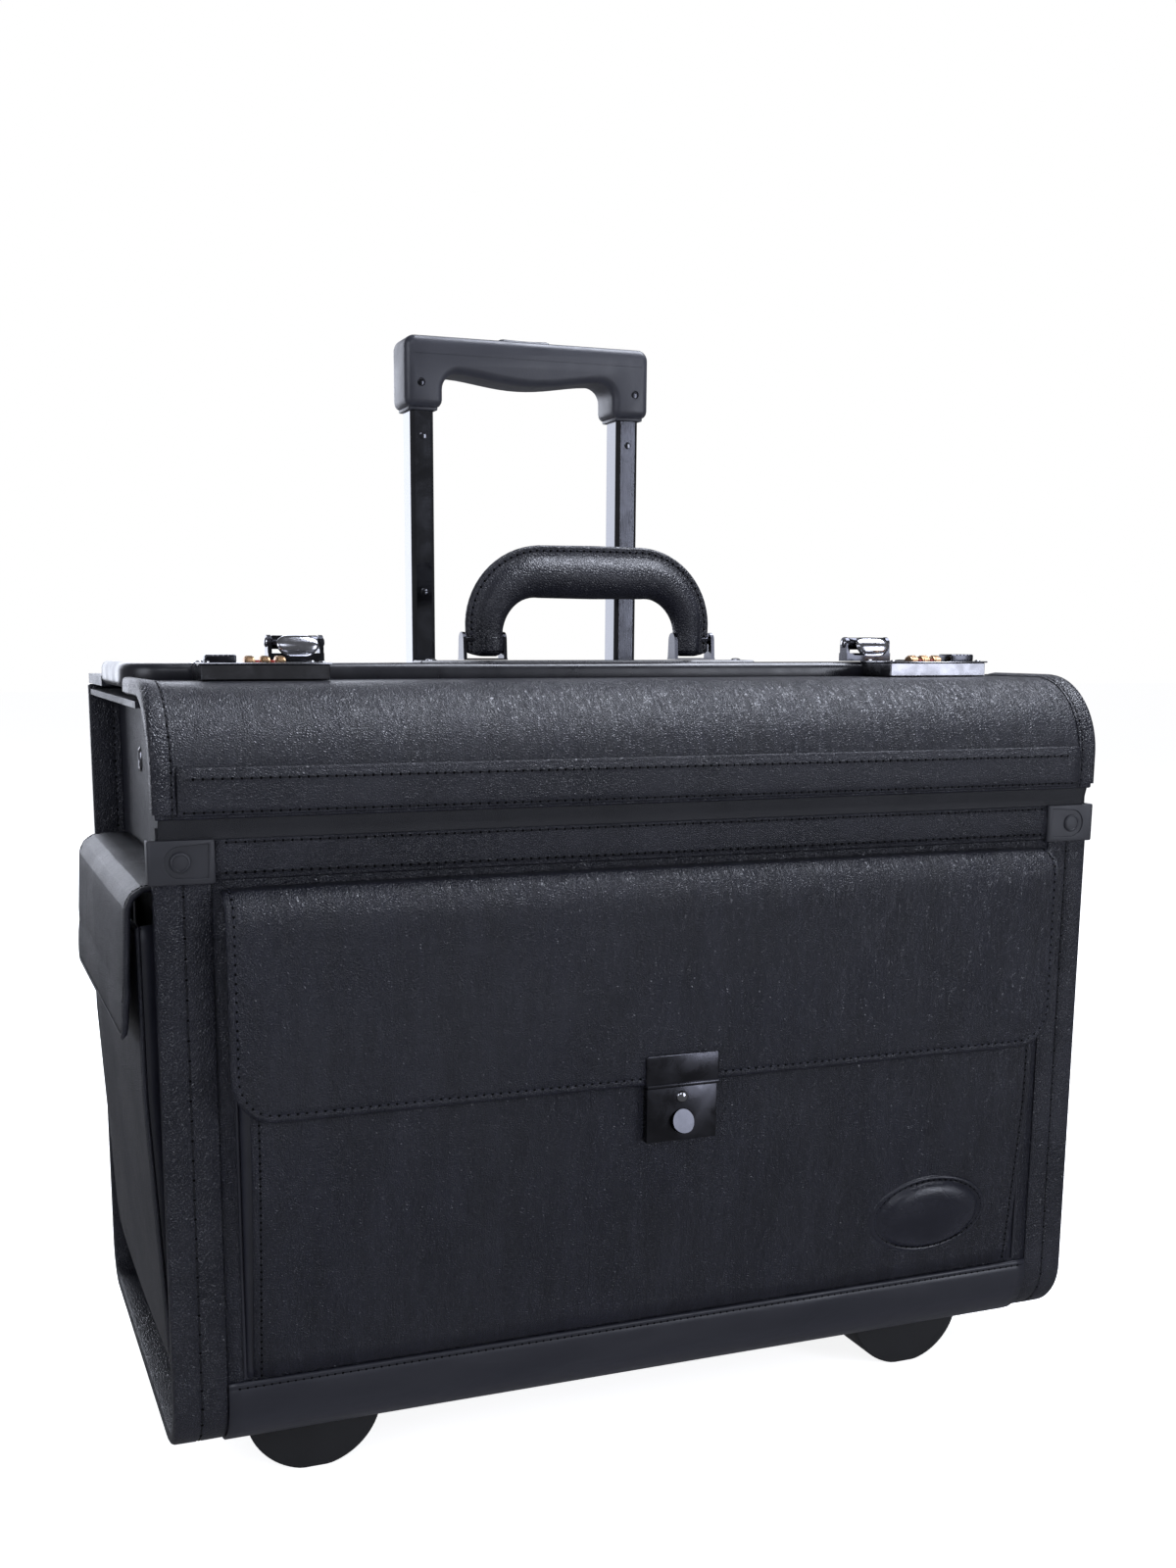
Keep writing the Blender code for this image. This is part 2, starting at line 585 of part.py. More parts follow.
# ---------------------------------------------------------------- trolley
def tube_pair(prefix, size, bottom, top, finish):
    """Two hollow rectangular tubes with the given outer size."""
    for name, side in SIDES:
        centre = (side * TUBE_X, at_y(TUBE_DEPTH))
        outer = rounded_rectangle(centre, size, 0.0022)
        bore_size = (size[0] - 2 * TUBE_WALL, size[1] - 2 * TUBE_WALL)
        bore = rounded_rectangle(centre, bore_size, 0.0012, 1)
        tube = add_object(prefix + name, prism(outer, "Z", at_z(bottom), at_z(top)), finish,
                          (centre[0], centre[1], at_z(bottom)), smooth_angle=35)
        combine(tube, prism(bore, "Z", at_z(bottom) - 0.01, at_z(top) + 0.01), "DIFFERENCE")


def make_trolley_guides():
    """The fixed guides: sleeves, their base block and the bezel at the top."""
    tube_pair("trolley_sleeve_", SLEEVE_SIZE, SLEEVE_BOTTOM, SLEEVE_TOP, "steel")
    middle = at_y(TUBE_DEPTH)
    half_width, half_depth = BEZEL_PLUG_HALF
    base = block((-half_width, middle - half_depth, at_z(BOARD + GAP)),
                 (half_width, middle + half_depth, at_z(SLEEVE_BOTTOM - GAP)))
    add_object("trolley_base_block", bevel_all(base, 0.0010), "matte_plastic")
    rim = 0.0050
    flange = block((-half_width - rim, middle - half_depth - rim, at_z(LID_TOP + GAP)),
                   (half_width + rim, middle + half_depth + rim, at_z(LID_TOP + BEZEL_THICKNESS)))
    bezel = add_object("trolley_bezel", bevel_all(flange, 0.0015), "matte_plastic")
    plug = block((-half_width, middle - half_depth, at_z(SLEEVE_TOP + GAP)),
                 (half_width, middle + half_depth, at_z(LID_TOP + BEZEL_THICKNESS / 2)))
    combine(bezel, plug, "UNION")
    for _, side in SIDES:
        hole_size = (MIDDLE_SIZE[0] + 0.0008, MIDDLE_SIZE[1] + 0.0008)
        hole = rounded_rectangle((side * TUBE_X, middle), hole_size, 0.0022)
        combine(bezel, prism(hole, "Z", at_z(SLEEVE_TOP - 0.01), at_z(LID_TOP + 0.02)), "DIFFERENCE")


def grip_outline():
    """Front view of the grip: two legs and a bar whose underside swells downwards."""
    half = GRIP_HALF_WIDTH
    inner = half - GRIP_LEG
    corner = 0.006
    fillet = 0.007
    top = at_z(GRIP_TOP)
    under = at_z(GRIP_BAR_UNDERSIDE)
    low = at_z(GRIP_BOTTOM)
    points = arc((half - corner, top - corner), corner, 0, 90, 4)
    points += arc((-half + corner, top - corner), corner, 90, 180, 4)
    points += [(-half, low), (-inner, low)]
    points += arc((-inner + fillet, under - fillet), fillet, 180, 90, 4)
    span = inner - fillet
    swell = 0.0035
    steps = 8
    for step in range(1, steps):
        x = -span + 2 * span * step / steps
        points.append((x, under - swell * math.cos(math.pi * x / (2 * span)) ** 2))
    points += arc((inner - fillet, under - fillet), fillet, 90, 0, 4)
    points += [(inner, low), (half, low)]
    return points


def make_trolley_slides():
    """The sliding stages: middle tubes, inner tubes and the grip."""
    tube_pair("trolley_middle_tube_", MIDDLE_SIZE, MIDDLE_BOTTOM, MIDDLE_TOP, "black_steel")
    tube_pair("trolley_inner_tube_", INNER_SIZE, INNER_BOTTOM, GRIP_BOTTOM + SOCKET_DEPTH - GAP, "black_steel")
    middle = at_y(TUBE_DEPTH)
    solid = prism(grip_outline(), "Y", middle - GRIP_DEPTH / 2, middle + GRIP_DEPTH / 2)
    grip = add_object("trolley_grip", bevel_all(solid, 0.0030, 2, 50.0), "matte_plastic",
                      (0.0, middle, at_z(GRIP_BOTTOM)), smooth_angle=35)
    socket_top = at_z(GRIP_BOTTOM + SOCKET_DEPTH)
    channel_low = at_z(GRIP_TOP - 0.0175)
    channel_high = at_z(GRIP_TOP - 0.0055)
    for _, side in SIDES:
        hole_size = (INNER_SIZE[0] + 2 * GAP, INNER_SIZE[1] + 2 * GAP)
        hole = rounded_rectangle((side * TUBE_X, middle), hole_size, 0.0022)
        combine(grip, prism(hole, "Z", at_z(GRIP_BOTTOM) - 0.01, socket_top), "DIFFERENCE")
        shaft = block((side * TUBE_X - 0.0045, middle - 0.0045, socket_top - 0.002),
                      (side * TUBE_X + 0.0045, middle + 0.0045, channel_low + 0.002))
        combine(grip, shaft, "DIFFERENCE")
    channel = block((-TUBE_X - 0.0044, middle - 0.0044, channel_low), (TUBE_X + 0.0044, middle + 0.0044, channel_high))
    combine(grip, channel, "DIFFERENCE")
    hole = rounded_rectangle((0.0, middle), (0.0320, 0.0130), 0.0040, 3)
    hole_low = at_z(GRIP_TOP - 0.0075) - BUTTON_TRAVEL - GAP
    combine(grip, prism(hole, "Z", hole_low, at_z(GRIP_TOP) + 0.01), "DIFFERENCE")


def make_trolley_release():
    """The push button in the grip and the link that it presses down the tubes."""
    middle = at_y(TUBE_DEPTH)
    link_high = at_z(GRIP_TOP - 0.0075)
    link_low = link_high - 0.0040
    origin = (0.0, middle, link_high)
    outline = rounded_rectangle((0.0, middle), (0.0312, 0.0122), 0.0036, 3)
    button = prism(outline, "Z", link_high + GAP, at_z(GRIP_TOP + 0.0022))
    add_object("trolley_button", bevel_all(button, 0.0008), "matte_plastic", origin, smooth_angle=35)
    bar = block((-TUBE_X - 0.0025, middle - 0.0025, link_low), (TUBE_X + 0.0025, middle + 0.0025, link_high))
    link = add_object("trolley_release_link", bar, "steel", origin)
    rod_bottom = at_z(INNER_BOTTOM + 0.010)
    for _, side in SIDES:
        rod_middle = (side * TUBE_X, middle, (rod_bottom + link_low) / 2 + 0.001)
        rod = cylinder(rod_middle, 0.0020, link_low - rod_bottom + 0.002, "Z", 10)
        combine(link, rod, "UNION")


# ---------------------------------------------------------------- pockets and flaps
def pocket_slope():
    """How far the pocket's front runs back towards the case for each metre it drops."""
    return (POCKET_FOOT_FRONT - POCKET_FRONT) / (POCKET_KNEE - POCKET_BOTTOM)


def make_front_pocket():
    """A shallow pocket, open at the top, whose front runs in to the case at its foot."""
    back = at_y(-GAP)
    outline = [(back, at_z(POCKET_BOTTOM)), (at_y(POCKET_FOOT_FRONT), at_z(POCKET_BOTTOM)),
               (at_y(POCKET_FRONT), at_z(POCKET_KNEE)), (at_y(POCKET_FRONT), at_z(POCKET_TOP)),
               (back, at_z(POCKET_TOP))]
    pocket = add_object("front_pocket", prism(outline, "X", -POCKET_HALF_WIDTH, POCKET_HALF_WIDTH), "leatherette")
    inner_half = POCKET_HALF_WIDTH - POCKET_WALL
    inner_front = POCKET_FRONT + POCKET_WALL
    past_back = 0.005
    inner_foot = POCKET_KNEE - (past_back - inner_front) / pocket_slope()
    hollow = [(at_y(inner_front), at_z(POCKET_KNEE)), (at_y(inner_front), at_z(POCKET_TOP) + 0.01),
              (at_y(past_back), at_z(POCKET_TOP) + 0.01), (at_y(past_back), at_z(inner_foot))]
    combine(pocket, prism(hollow, "X", -inner_half, inner_half), "DIFFERENCE")


def flap_line(fold, hang_start, hang_end, inset):
    """A flap's line in a vertical plane: back edge, rounded fold and hanging end.

    fold is the top's inner end, hang_start the corner where the top would meet the
    hanging part, and hang_end the hem.  Distances run outwards from the wall.
    """
    radius = FLAP_FOLD_RADIUS
    centre = (hang_start[0] - radius, hang_start[1] - radius)
    start = (fold[0], fold[1] - inset)
    return [start] + arc(centre, radius - inset, 90, 0, 6) + [(hang_end[0] - inset, hang_end[1])]


def make_front_flap():
    axis_point = (0.0, at_y(-0.0008), at_z(FLAP_TOP))
    reach = -FLAP_FRONT
    fold = (0.0012, FLAP_TOP)
    corner = (reach, FLAP_TOP)
    hem = (reach, FLAP_BOTTOM)
    outer = flap_line(fold, corner, hem, 0.0)
    inner = flap_line(fold, corner, hem, FLAP_THICKNESS)
    outline = [(at_y(-out), at_z(height)) for out, height in band(outer, inner)]
    flap = add_object("front_flap", prism(outline, "X", -FLAP_HALF_WIDTH, FLAP_HALF_WIDTH), "leatherette",
                      axis_point, smooth_angle=35)
    radius = FLAP_CORNER_RADIUS
    low = at_z(FLAP_BOTTOM)
    trim = [(FLAP_HALF_WIDTH + 0.01, at_z(FLAP_TOP) + 0.01), (-FLAP_HALF_WIDTH - 0.01, at_z(FLAP_TOP) + 0.01)]
    trim += [(-FLAP_HALF_WIDTH - 0.01, low + 2 * radius), (-FLAP_HALF_WIDTH, low + 1.2 * radius)]
    trim += arc((-FLAP_HALF_WIDTH + radius, low + radius), radius, 180, 270, 5)
    trim += arc((FLAP_HALF_WIDTH - radius, low + radius), radius, 270, 360, 5)
    trim += [(FLAP_HALF_WIDTH, low + 1.2 * radius), (FLAP_HALF_WIDTH + 0.01, low + 2 * radius)]
    combine(flap, prism(trim, "Y", at_y(-0.05), at_y(0.01)), "INTERSECT")


def make_tuck_lock():
    """The flap's catch: a plate on the flap, a case on the pocket and its push knob."""
    plate_low = FLAP_BOTTOM - 0.0010
    plate_front = FLAP_FRONT - GAP - 0.0016
    upper = block((-TUCK_HALF_WIDTH, at_y(plate_front), at_z(plate_low)),
                  (TUCK_HALF_WIDTH, at_y(FLAP_FRONT - GAP), at_z(plate_low + 0.0150)))
    add_object("tuck_lock_plate", bevel_all(upper, 0.0004), "gunmetal",
               (0.0, at_y(-0.0008), at_z(FLAP_TOP)))
    case_front = POCKET_FRONT - GAP - 0.0048
    lower = block((-TUCK_HALF_WIDTH + 0.0005, at_y(case_front), at_z(plate_low - 0.0265)),
                  (TUCK_HALF_WIDTH - 0.0005, at_y(POCKET_FRONT - GAP), at_z(plate_low - 0.0006)))
    case = add_object("tuck_lock_case", bevel_all(lower, 0.0005), "gunmetal")
    bore_depth = 0.0036
    bore = cylinder((0.0, at_y(case_front + bore_depth / 2 - 0.002), at_z(TUCK_KNOB_HEIGHT)),
                    TUCK_KNOB_RADIUS + GAP, bore_depth + 0.004, "Y", 20)
    combine(case, bore, "DIFFERENCE")
    pin = cylinder((0.0, at_y(case_front), at_z(TUCK_KNOB_HEIGHT + 0.0115)), 0.0026, 0.0020, "Y", 12)
    combine(case, pin, "UNION")
    knob_back = case_front + 0.0012
    knob_front = -WHEEL_OVERHANG
    middle = (0.0, at_y((knob_back + knob_front) / 2), at_z(TUCK_KNOB_HEIGHT))
    knob = bevel_all(cylinder(middle, TUCK_KNOB_RADIUS, knob_back - knob_front, "Y", 20), 0.0008)
    add_object("tuck_lock_knob", knob, "chrome", middle, smooth_angle=35)


def make_badge():
    """The plain padded oval on the sloping part of the pocket's front."""
    steps = 24
    outline = []
    for step in range(steps):
        angle = math.radians(360 * step / steps)
        outline.append((BADGE_HALF[0] * math.cos(angle), BADGE_HALF[1] * math.sin(angle)))
    oval = bevel_all(prism(outline, "Y", -BADGE_THICKNESS, -GAP), 0.0012)
    slope = pocket_slope()
    surface = POCKET_FOOT_FRONT - slope * (BADGE_HEIGHT - POCKET_BOTTOM)
    place = Matrix.Translation((BADGE_X, at_y(surface), at_z(BADGE_HEIGHT)))
    bmesh.ops.transform(oval, matrix=place @ Matrix.Rotation(math.atan(slope), 4, "X"), verts=oval.verts)
    add_object("oval_badge", oval, "leatherette", smooth_angle=35)


def end_pocket_line(inset):
    """Cross-section of an end pocket as (reach from the middle, height)."""
    wall = HALF_WIDTH - END_PANEL_RECESS + GAP
    low = END_POCKET_BOTTOM + inset
    return wall, low, END_POCKET_REACH_LOW - inset, END_POCKET_REACH_HIGH - inset


def make_end_pockets():
    """A wedge-shaped pocket on the left end, wider at its open top."""
    for name, side in POCKET_SIDES:
        wall, low, reach_low, reach_high = end_pocket_line(0.0)
        outline = [(side * wall, at_z(low)), (side * reach_low, at_z(low)),
                   (side * reach_high, at_z(END_POCKET_TOP)), (side * wall, at_z(END_POCKET_TOP))]
        pocket = add_object("end_pocket_" + name,
                            prism(outline, "Y", at_y(END_POCKET_FRONT), at_y(END_POCKET_BACK)), "leatherette")
        wall, low, reach_low, reach_high = end_pocket_line(POCKET_WALL)
        hollow = [(side * (wall - 0.01), at_z(low)), (side * reach_low, at_z(low)),
                  (side * reach_high, at_z(END_POCKET_TOP)), (side * reach_high, at_z(END_POCKET_TOP + 0.01)),
                  (side * (wall - 0.01), at_z(END_POCKET_TOP + 0.01))]
        cutter = prism(hollow, "Y", at_y(END_POCKET_FRONT + POCKET_WALL), at_y(END_POCKET_BACK - POCKET_WALL))
        combine(pocket, cutter, "DIFFERENCE")


def make_end_flaps():
    """A flap over the end pocket, hanging a little away from it."""
    wall = HALF_WIDTH - END_PANEL_RECESS + 0.0008
    fold = (wall + 0.0004, END_FLAP_TOP)
    corner_radius = 0.010
    centre = (END_FLAP_HEM_X - 0.003 - corner_radius, END_FLAP_TOP - corner_radius)
    for name, side in POCKET_SIDES:
        lines = []
        for inset in (0.0, FLAP_THICKNESS):
            bend = arc(centre, corner_radius - inset, 90, 8, 5)
            lines.append([(fold[0], fold[1] - inset)] + bend + [(END_FLAP_HEM_X - inset, END_FLAP_BOTTOM)])
        outline = [(side * out, at_z(height)) for out, height in band(lines[0], lines[1])]
        flap = prism(outline, "Y", at_y(END_POCKET_FRONT - 0.002), at_y(END_POCKET_BACK + 0.005))
        add_object("end_flap_" + name, flap, "leatherette", (side * wall, at_y(0.0), at_z(END_FLAP_TOP)),
                   smooth_angle=35)


# ---------------------------------------------------------------- feet and wheels
def make_feet():
    """Half-round standing feet under the front, flattened where they meet the floor."""
    flat = math.degrees(math.asin(GROUND_CLEARANCE / FOOT_RADIUS))
    for name, side in SIDES:
        top = GROUND_CLEARANCE - GAP
        outline = arc((side * FOOT_X, GROUND_CLEARANCE), FOOT_RADIUS, 180 + 0.6, 180 + flat, 12)
        outline += arc((side * FOOT_X, GROUND_CLEARANCE), FOOT_RADIUS, 360 - flat, 360 - 0.6, 12)
        outline = [(x, min(z, top)) for x, z in outline]
        foot = prism(outline, "Y", at_y(FOOT_FRONT), at_y(FOOT_FRONT + FOOT_THICKNESS))
        add_object("stand_foot_" + name, foot, "rubber", smooth_angle=35)


def make_wheel_housing(name, side):
    """The moulded housing in the case's back corner, with its axle."""
    centre_y, centre_z = wheel_centre()
    low_x, high_x = mirrored(side, WHEEL_X - HOUSING_HALF_WIDTH, WHEEL_X + HOUSING_HALF_WIDTH)
    back = BACK_Y + 0.0045
    front = BACK_Y - HOUSING_REACH + GAP
    top = at_z(HOUSING_HEIGHT) - GAP
    outline = [(front, top), (front, at_z(-0.004)), (front + 0.016, at_z(-0.004)), (front + 0.026, 0.016)]
    outline += arc((back - 0.008, 0.024), 0.008, 270, 360, 4)
    outline += [(back, top - 0.003), (back - 0.003, top)]
    housing = add_object("wheel_housing_" + name, prism(outline, "X", low_x, high_x), "matte_plastic",
                         smooth_angle=30)
    inner_low, inner_high = mirrored(side, WHEEL_X - HOUSING_HALF_WIDTH + HOUSING_WALL,
                                     WHEEL_X + HOUSING_HALF_WIDTH - HOUSING_WALL)
    room = WHEEL_RADIUS + WHEEL_CLEARANCE
    well = arc((centre_y, centre_z), room, 0, 180, 16)
    well += [(centre_y - room, -0.02), (centre_y + room, -0.02)]
    combine(housing, prism(well, "X", inner_low, inner_high), "DIFFERENCE")
    axle = cylinder((side * WHEEL_X, centre_y, centre_z), AXLE_RADIUS, 2 * HOUSING_HALF_WIDTH - HOUSING_WALL, "X", 16)
    combine(housing, axle, "UNION")


def make_wheel(name, side):
    """A moulded wheel with a tyre bead and a dished hub, spun about its axle."""
    centre_y, centre_z = wheel_centre()
    half = WHEEL_WIDTH / 2
    dish = 0.003
    profile = [(-half, WHEEL_BORE), (-half, 0.0075), (-half + dish, 0.0085), (-half + dish, 0.0195),
               (-half, 0.0205), (-half, WHEEL_RADIUS - 0.003), (-half + 0.003, WHEEL_RADIUS)]
    profile += [(-x, r) for x, r in reversed(profile)]
    bm = bmesh.new()
    ring = [bm.verts.new((side * WHEEL_X + x, centre_y, centre_z + r)) for x, r in profile]
    edges = [bm.edges.new((ring[index - 1], ring[index])) for index in range(len(ring))]
    centre = (side * WHEEL_X, centre_y, centre_z)
    bmesh.ops.spin(bm, geom=ring + edges, cent=centre, axis=(1, 0, 0), angle=2 * math.pi, steps=28,
                   use_merge=True, use_duplicate=False)
    add_object("wheel_" + name, bm, "rubber", centre, smooth_angle=35)


def main():
    clear_scene()
    make_body_shell()
    make_end_panels()
    make_corner_brackets()
    make_top_strip()
    make_hinge_strip()
    make_interior()
    make_front_lid()
    make_back_lid()
    make_handle_mounts()
    make_carry_handle()
    make_trolley_guides()
    make_trolley_slides()
    make_trolley_release()
    make_front_pocket()
    make_front_flap()
    make_tuck_lock()
    make_badge()
    make_end_pockets()
    make_end_flaps()
    make_feet()
    for name, side in SIDES:
        make_lock(name, side)
        make_hasp(name, side)
        make_wheel_housing(name, side)
        make_wheel(name, side)


main()
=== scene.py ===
"""Looks of the pilot rolling flight case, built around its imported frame.

Lengths are metres.  Depths run back from the case's front plane and heights run up from
the case's bottom, as in the part's own design.  +X runs along the long side.
"""
import logging
import math
from dataclasses import dataclass, field
from enum import Enum
from typing import Callable, Optional, Sequence

import bmesh
import bpy
from mathutils import Matrix, Vector


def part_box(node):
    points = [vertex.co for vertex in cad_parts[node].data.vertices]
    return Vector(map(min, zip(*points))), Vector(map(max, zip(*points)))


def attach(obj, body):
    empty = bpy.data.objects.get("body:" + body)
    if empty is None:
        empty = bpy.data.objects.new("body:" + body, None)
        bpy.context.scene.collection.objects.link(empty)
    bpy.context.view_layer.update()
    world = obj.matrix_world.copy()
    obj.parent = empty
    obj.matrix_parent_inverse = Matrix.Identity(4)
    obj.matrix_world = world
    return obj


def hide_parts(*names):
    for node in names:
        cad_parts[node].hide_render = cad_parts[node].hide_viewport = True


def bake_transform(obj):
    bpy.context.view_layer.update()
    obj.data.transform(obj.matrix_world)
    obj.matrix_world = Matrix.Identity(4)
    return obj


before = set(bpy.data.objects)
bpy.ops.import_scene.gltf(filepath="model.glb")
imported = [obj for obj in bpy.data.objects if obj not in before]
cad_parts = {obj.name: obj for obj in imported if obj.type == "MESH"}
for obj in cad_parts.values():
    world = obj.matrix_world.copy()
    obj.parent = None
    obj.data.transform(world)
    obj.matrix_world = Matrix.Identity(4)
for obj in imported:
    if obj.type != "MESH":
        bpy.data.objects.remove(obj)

LOG = logging.getLogger("flight_case")
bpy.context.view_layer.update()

Mesh = bmesh.types.BMesh
Material = bpy.types.Material
Object = bpy.types.Object
Point = tuple[float, float]
Place = tuple[float, float, float]

SHELL_LOW, SHELL_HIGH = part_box("body_shell")
MIDDLE_X = (SHELL_LOW.x + SHELL_HIGH.x) / 2
HALF_WIDTH = (SHELL_HIGH.x - SHELL_LOW.x) / 2
FRONT_Y = SHELL_LOW.y
BACK_Y = SHELL_HIGH.y
CASE_BOTTOM = SHELL_LOW.z
STITCH = 0.0042
SAME_PLACE = 1e-6
ROUNDING = 6
COLOUR_LOW, COLOUR_HIGH, COLOUR_OUT = 6, 7, 2
LAMP_COLOUR = (0.84, 0.88, 1.0)
SENSOR_WIDTH = 36.0
FLOOR_REACH = 12.0


def node_box(node: str) -> tuple[Vector, Vector]:
    """A CAD node's low and high corners, measured across from the case's own middle."""
    low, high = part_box(node)
    return low - Vector((MIDDLE_X, 0.0, 0.0)), high - Vector((MIDDLE_X, 0.0, 0.0))


def at_y(depth: float) -> float:
    """World y of a depth behind the case's front plane."""
    return FRONT_Y + depth


def at_z(height: float) -> float:
    """World z of a height above the case's bottom."""
    return CASE_BOTTOM + height


class Side(Enum):
    """The two ends of the case."""

    LEFT = -1
    RIGHT = 1

    @property
    def tag(self) -> str:
        """The word used in node and piece names."""
        return self.name.lower()


class Run(Enum):
    """The way that a strip's width runs, across its section line."""

    ALONG_X = "x"
    ALONG_Y = "y"


class Edge(Enum):
    """An edge of a panel: its two sides, and the start and end of its section line."""

    LOW = "low"
    HIGH = "high"
    START = "start"
    END = "end"


class Grain(Enum):
    """The way that a leather's fine creases run."""

    UPRIGHT_ON_FRONT = (1.0, 0.2, 0.2)
    UPRIGHT_ON_END = (0.2, 1.0, 0.2)


# ---------------------------------------------------------------- finishes
class NodeSheet:
    """One material's node tree, with short calls that add and join its nodes."""

    def __init__(self, name: str) -> None:
        """Start a material with a Principled shader and object coordinates."""
        self.material = bpy.data.materials.new(name)
        self.material.use_nodes = True
        self.tree = self.material.node_tree
        self.shader = self.tree.nodes["Principled BSDF"]
        self.place = self.tree.nodes.new("ShaderNodeTexCoord").outputs["Object"]

    def join(self, source: object, target: object) -> None:
        """Link an output, or set a plain value, on an input socket."""
        if isinstance(source, bpy.types.NodeSocket):
            self.tree.links.new(source, target)
        else:
            target.default_value = source

    def scaled(self, scale: Sequence[float], turn: Sequence[float] = (0.0, 0.0, 0.0)) -> object:
        """Object coordinates stretched by a scale and turned by Euler angles."""
        node = self.tree.nodes.new("ShaderNodeMapping")
        node.inputs["Scale"].default_value = scale
        node.inputs["Rotation"].default_value = turn
        self.join(self.place, node.inputs["Vector"])
        return node.outputs["Vector"]

    def noise(self, vector: object, scale: float, detail: float = 3.0, rough: float = 0.55,
              distortion: float = 0.0) -> object:
        """A noise factor.

        Args:
            vector: the coordinates.
            scale: waves per metre before any stretch.
            detail: octaves.
            rough: how strong the finer octaves are.
            distortion: how far the pattern is pushed about.

        Returns:
            The factor socket.
        """
        node = self.tree.nodes.new("ShaderNodeTexNoise")
        for name, value in (("Vector", vector), ("Scale", scale), ("Detail", detail),
                            ("Roughness", rough), ("Distortion", distortion)):
            self.join(value, node.inputs[name])
        return node.outputs["Fac"]

    def cells(self, vector: object, scale: float) -> object:
        """Distance to the nearest cell's edge."""
        node = self.tree.nodes.new("ShaderNodeTexVoronoi")
        node.feature = "DISTANCE_TO_EDGE"
        self.join(vector, node.inputs["Vector"])
        self.join(scale, node.inputs["Scale"])
        return node.outputs["Distance"]

    def ramp(self, value: object, stops: Sequence[tuple[float, float]]) -> object:
        """A value eased from one (input, output) stop to another."""
        node = self.tree.nodes.new("ShaderNodeMapRange")
        node.interpolation_type = "SMOOTHSTEP"
        (low, out_low), (high, out_high) = stops
        for name, number in (("From Min", low), ("From Max", high),
                             ("To Min", out_low), ("To Max", out_high)):
            node.inputs[name].default_value = number
        self.join(value, node.inputs["Value"])
        return node.outputs["Result"]

    def sums(self, first: object, second: object, share: float) -> object:
        """first plus share times second."""
        node = self.tree.nodes.new("ShaderNodeMath")
        node.operation = "MULTIPLY_ADD"
        self.join(second, node.inputs[0])
        node.inputs[1].default_value = share
        self.join(first, node.inputs[2])
        return node.outputs["Value"]

    def blend_colours(self, factor: object, low: Sequence[float], high: Sequence[float]) -> object:
        """A colour between two, by a factor."""
        node = self.tree.nodes.new("ShaderNodeMix")
        node.data_type = "RGBA"
        self.join(factor, node.inputs["Factor"])
        node.inputs[COLOUR_LOW].default_value = (*low, 1.0)
        node.inputs[COLOUR_HIGH].default_value = (*high, 1.0)
        return node.outputs[COLOUR_OUT]

    def bump(self, height: object, depth: float, strength: float = 1.0) -> None:
        """Push the shading normal by a height, over a depth in metres."""
        node = self.tree.nodes.new("ShaderNodeBump")
        node.inputs["Strength"].default_value = strength
        node.inputs["Distance"].default_value = depth
        self.join(height, node.inputs["Height"])
        self.join(node.outputs["Normal"], self.shader.inputs["Normal"])

    def surface(self, colour: object, roughness: object, **settings: float) -> Material:
        """Set the shader and return the material."""
        self.join(colour, self.shader.inputs["Base Color"])
        self.join(roughness, self.shader.inputs["Roughness"])
        for name, value in settings.items():
            self.shader.inputs[name.replace("_", " ").title().replace("Ior", "IOR")].default_value = value
        return self.material


@dataclass(frozen=True)
class Leatherette:
    """Coated leather: fine creases along one way over a small pebble."""

    name: str
    grain: Grain
    dark: Place = (0.0044, 0.0048, 0.0084)
    pale: Place = (0.0082, 0.0088, 0.0150)
    crease: float = 0.00020
    pebble: float = 1.15
    sheen: float = 0.31

    def build(self) -> Material:
        """Make the material."""
        sheet = NodeSheet(self.name)
        along = sheet.scaled(self.grain.value)
        creases = sheet.noise(along, 520.0, 5.0, 0.66, 1.1)
        lines = sheet.ramp(creases, ((0.38, 0.0), (0.55, 1.0)))
        pebbles = sheet.ramp(sheet.cells(sheet.place, 900.0), ((0.0, 0.0), (0.35, 1.0)))
        height = sheet.sums(lines, pebbles, self.pebble)
        broad = sheet.noise(along, 95.0, 3.0, 0.6)
        cloud = sheet.noise(sheet.place, 16.0, 3.0, 0.55)
        tone = sheet.sums(sheet.ramp(broad, ((0.3, 0.0), (0.7, 0.6))), lines, 0.35)
        colour = sheet.blend_colours(tone, self.dark, self.pale)
        gloss = sheet.ramp(cloud, ((0.3, self.sheen - 0.05), (0.7, self.sheen + 0.07)))
        roughness = sheet.sums(gloss, broad, 0.06)
        sheet.bump(height, self.crease, 0.9)
        return sheet.surface(colour, roughness, specular_ior_level=0.50)


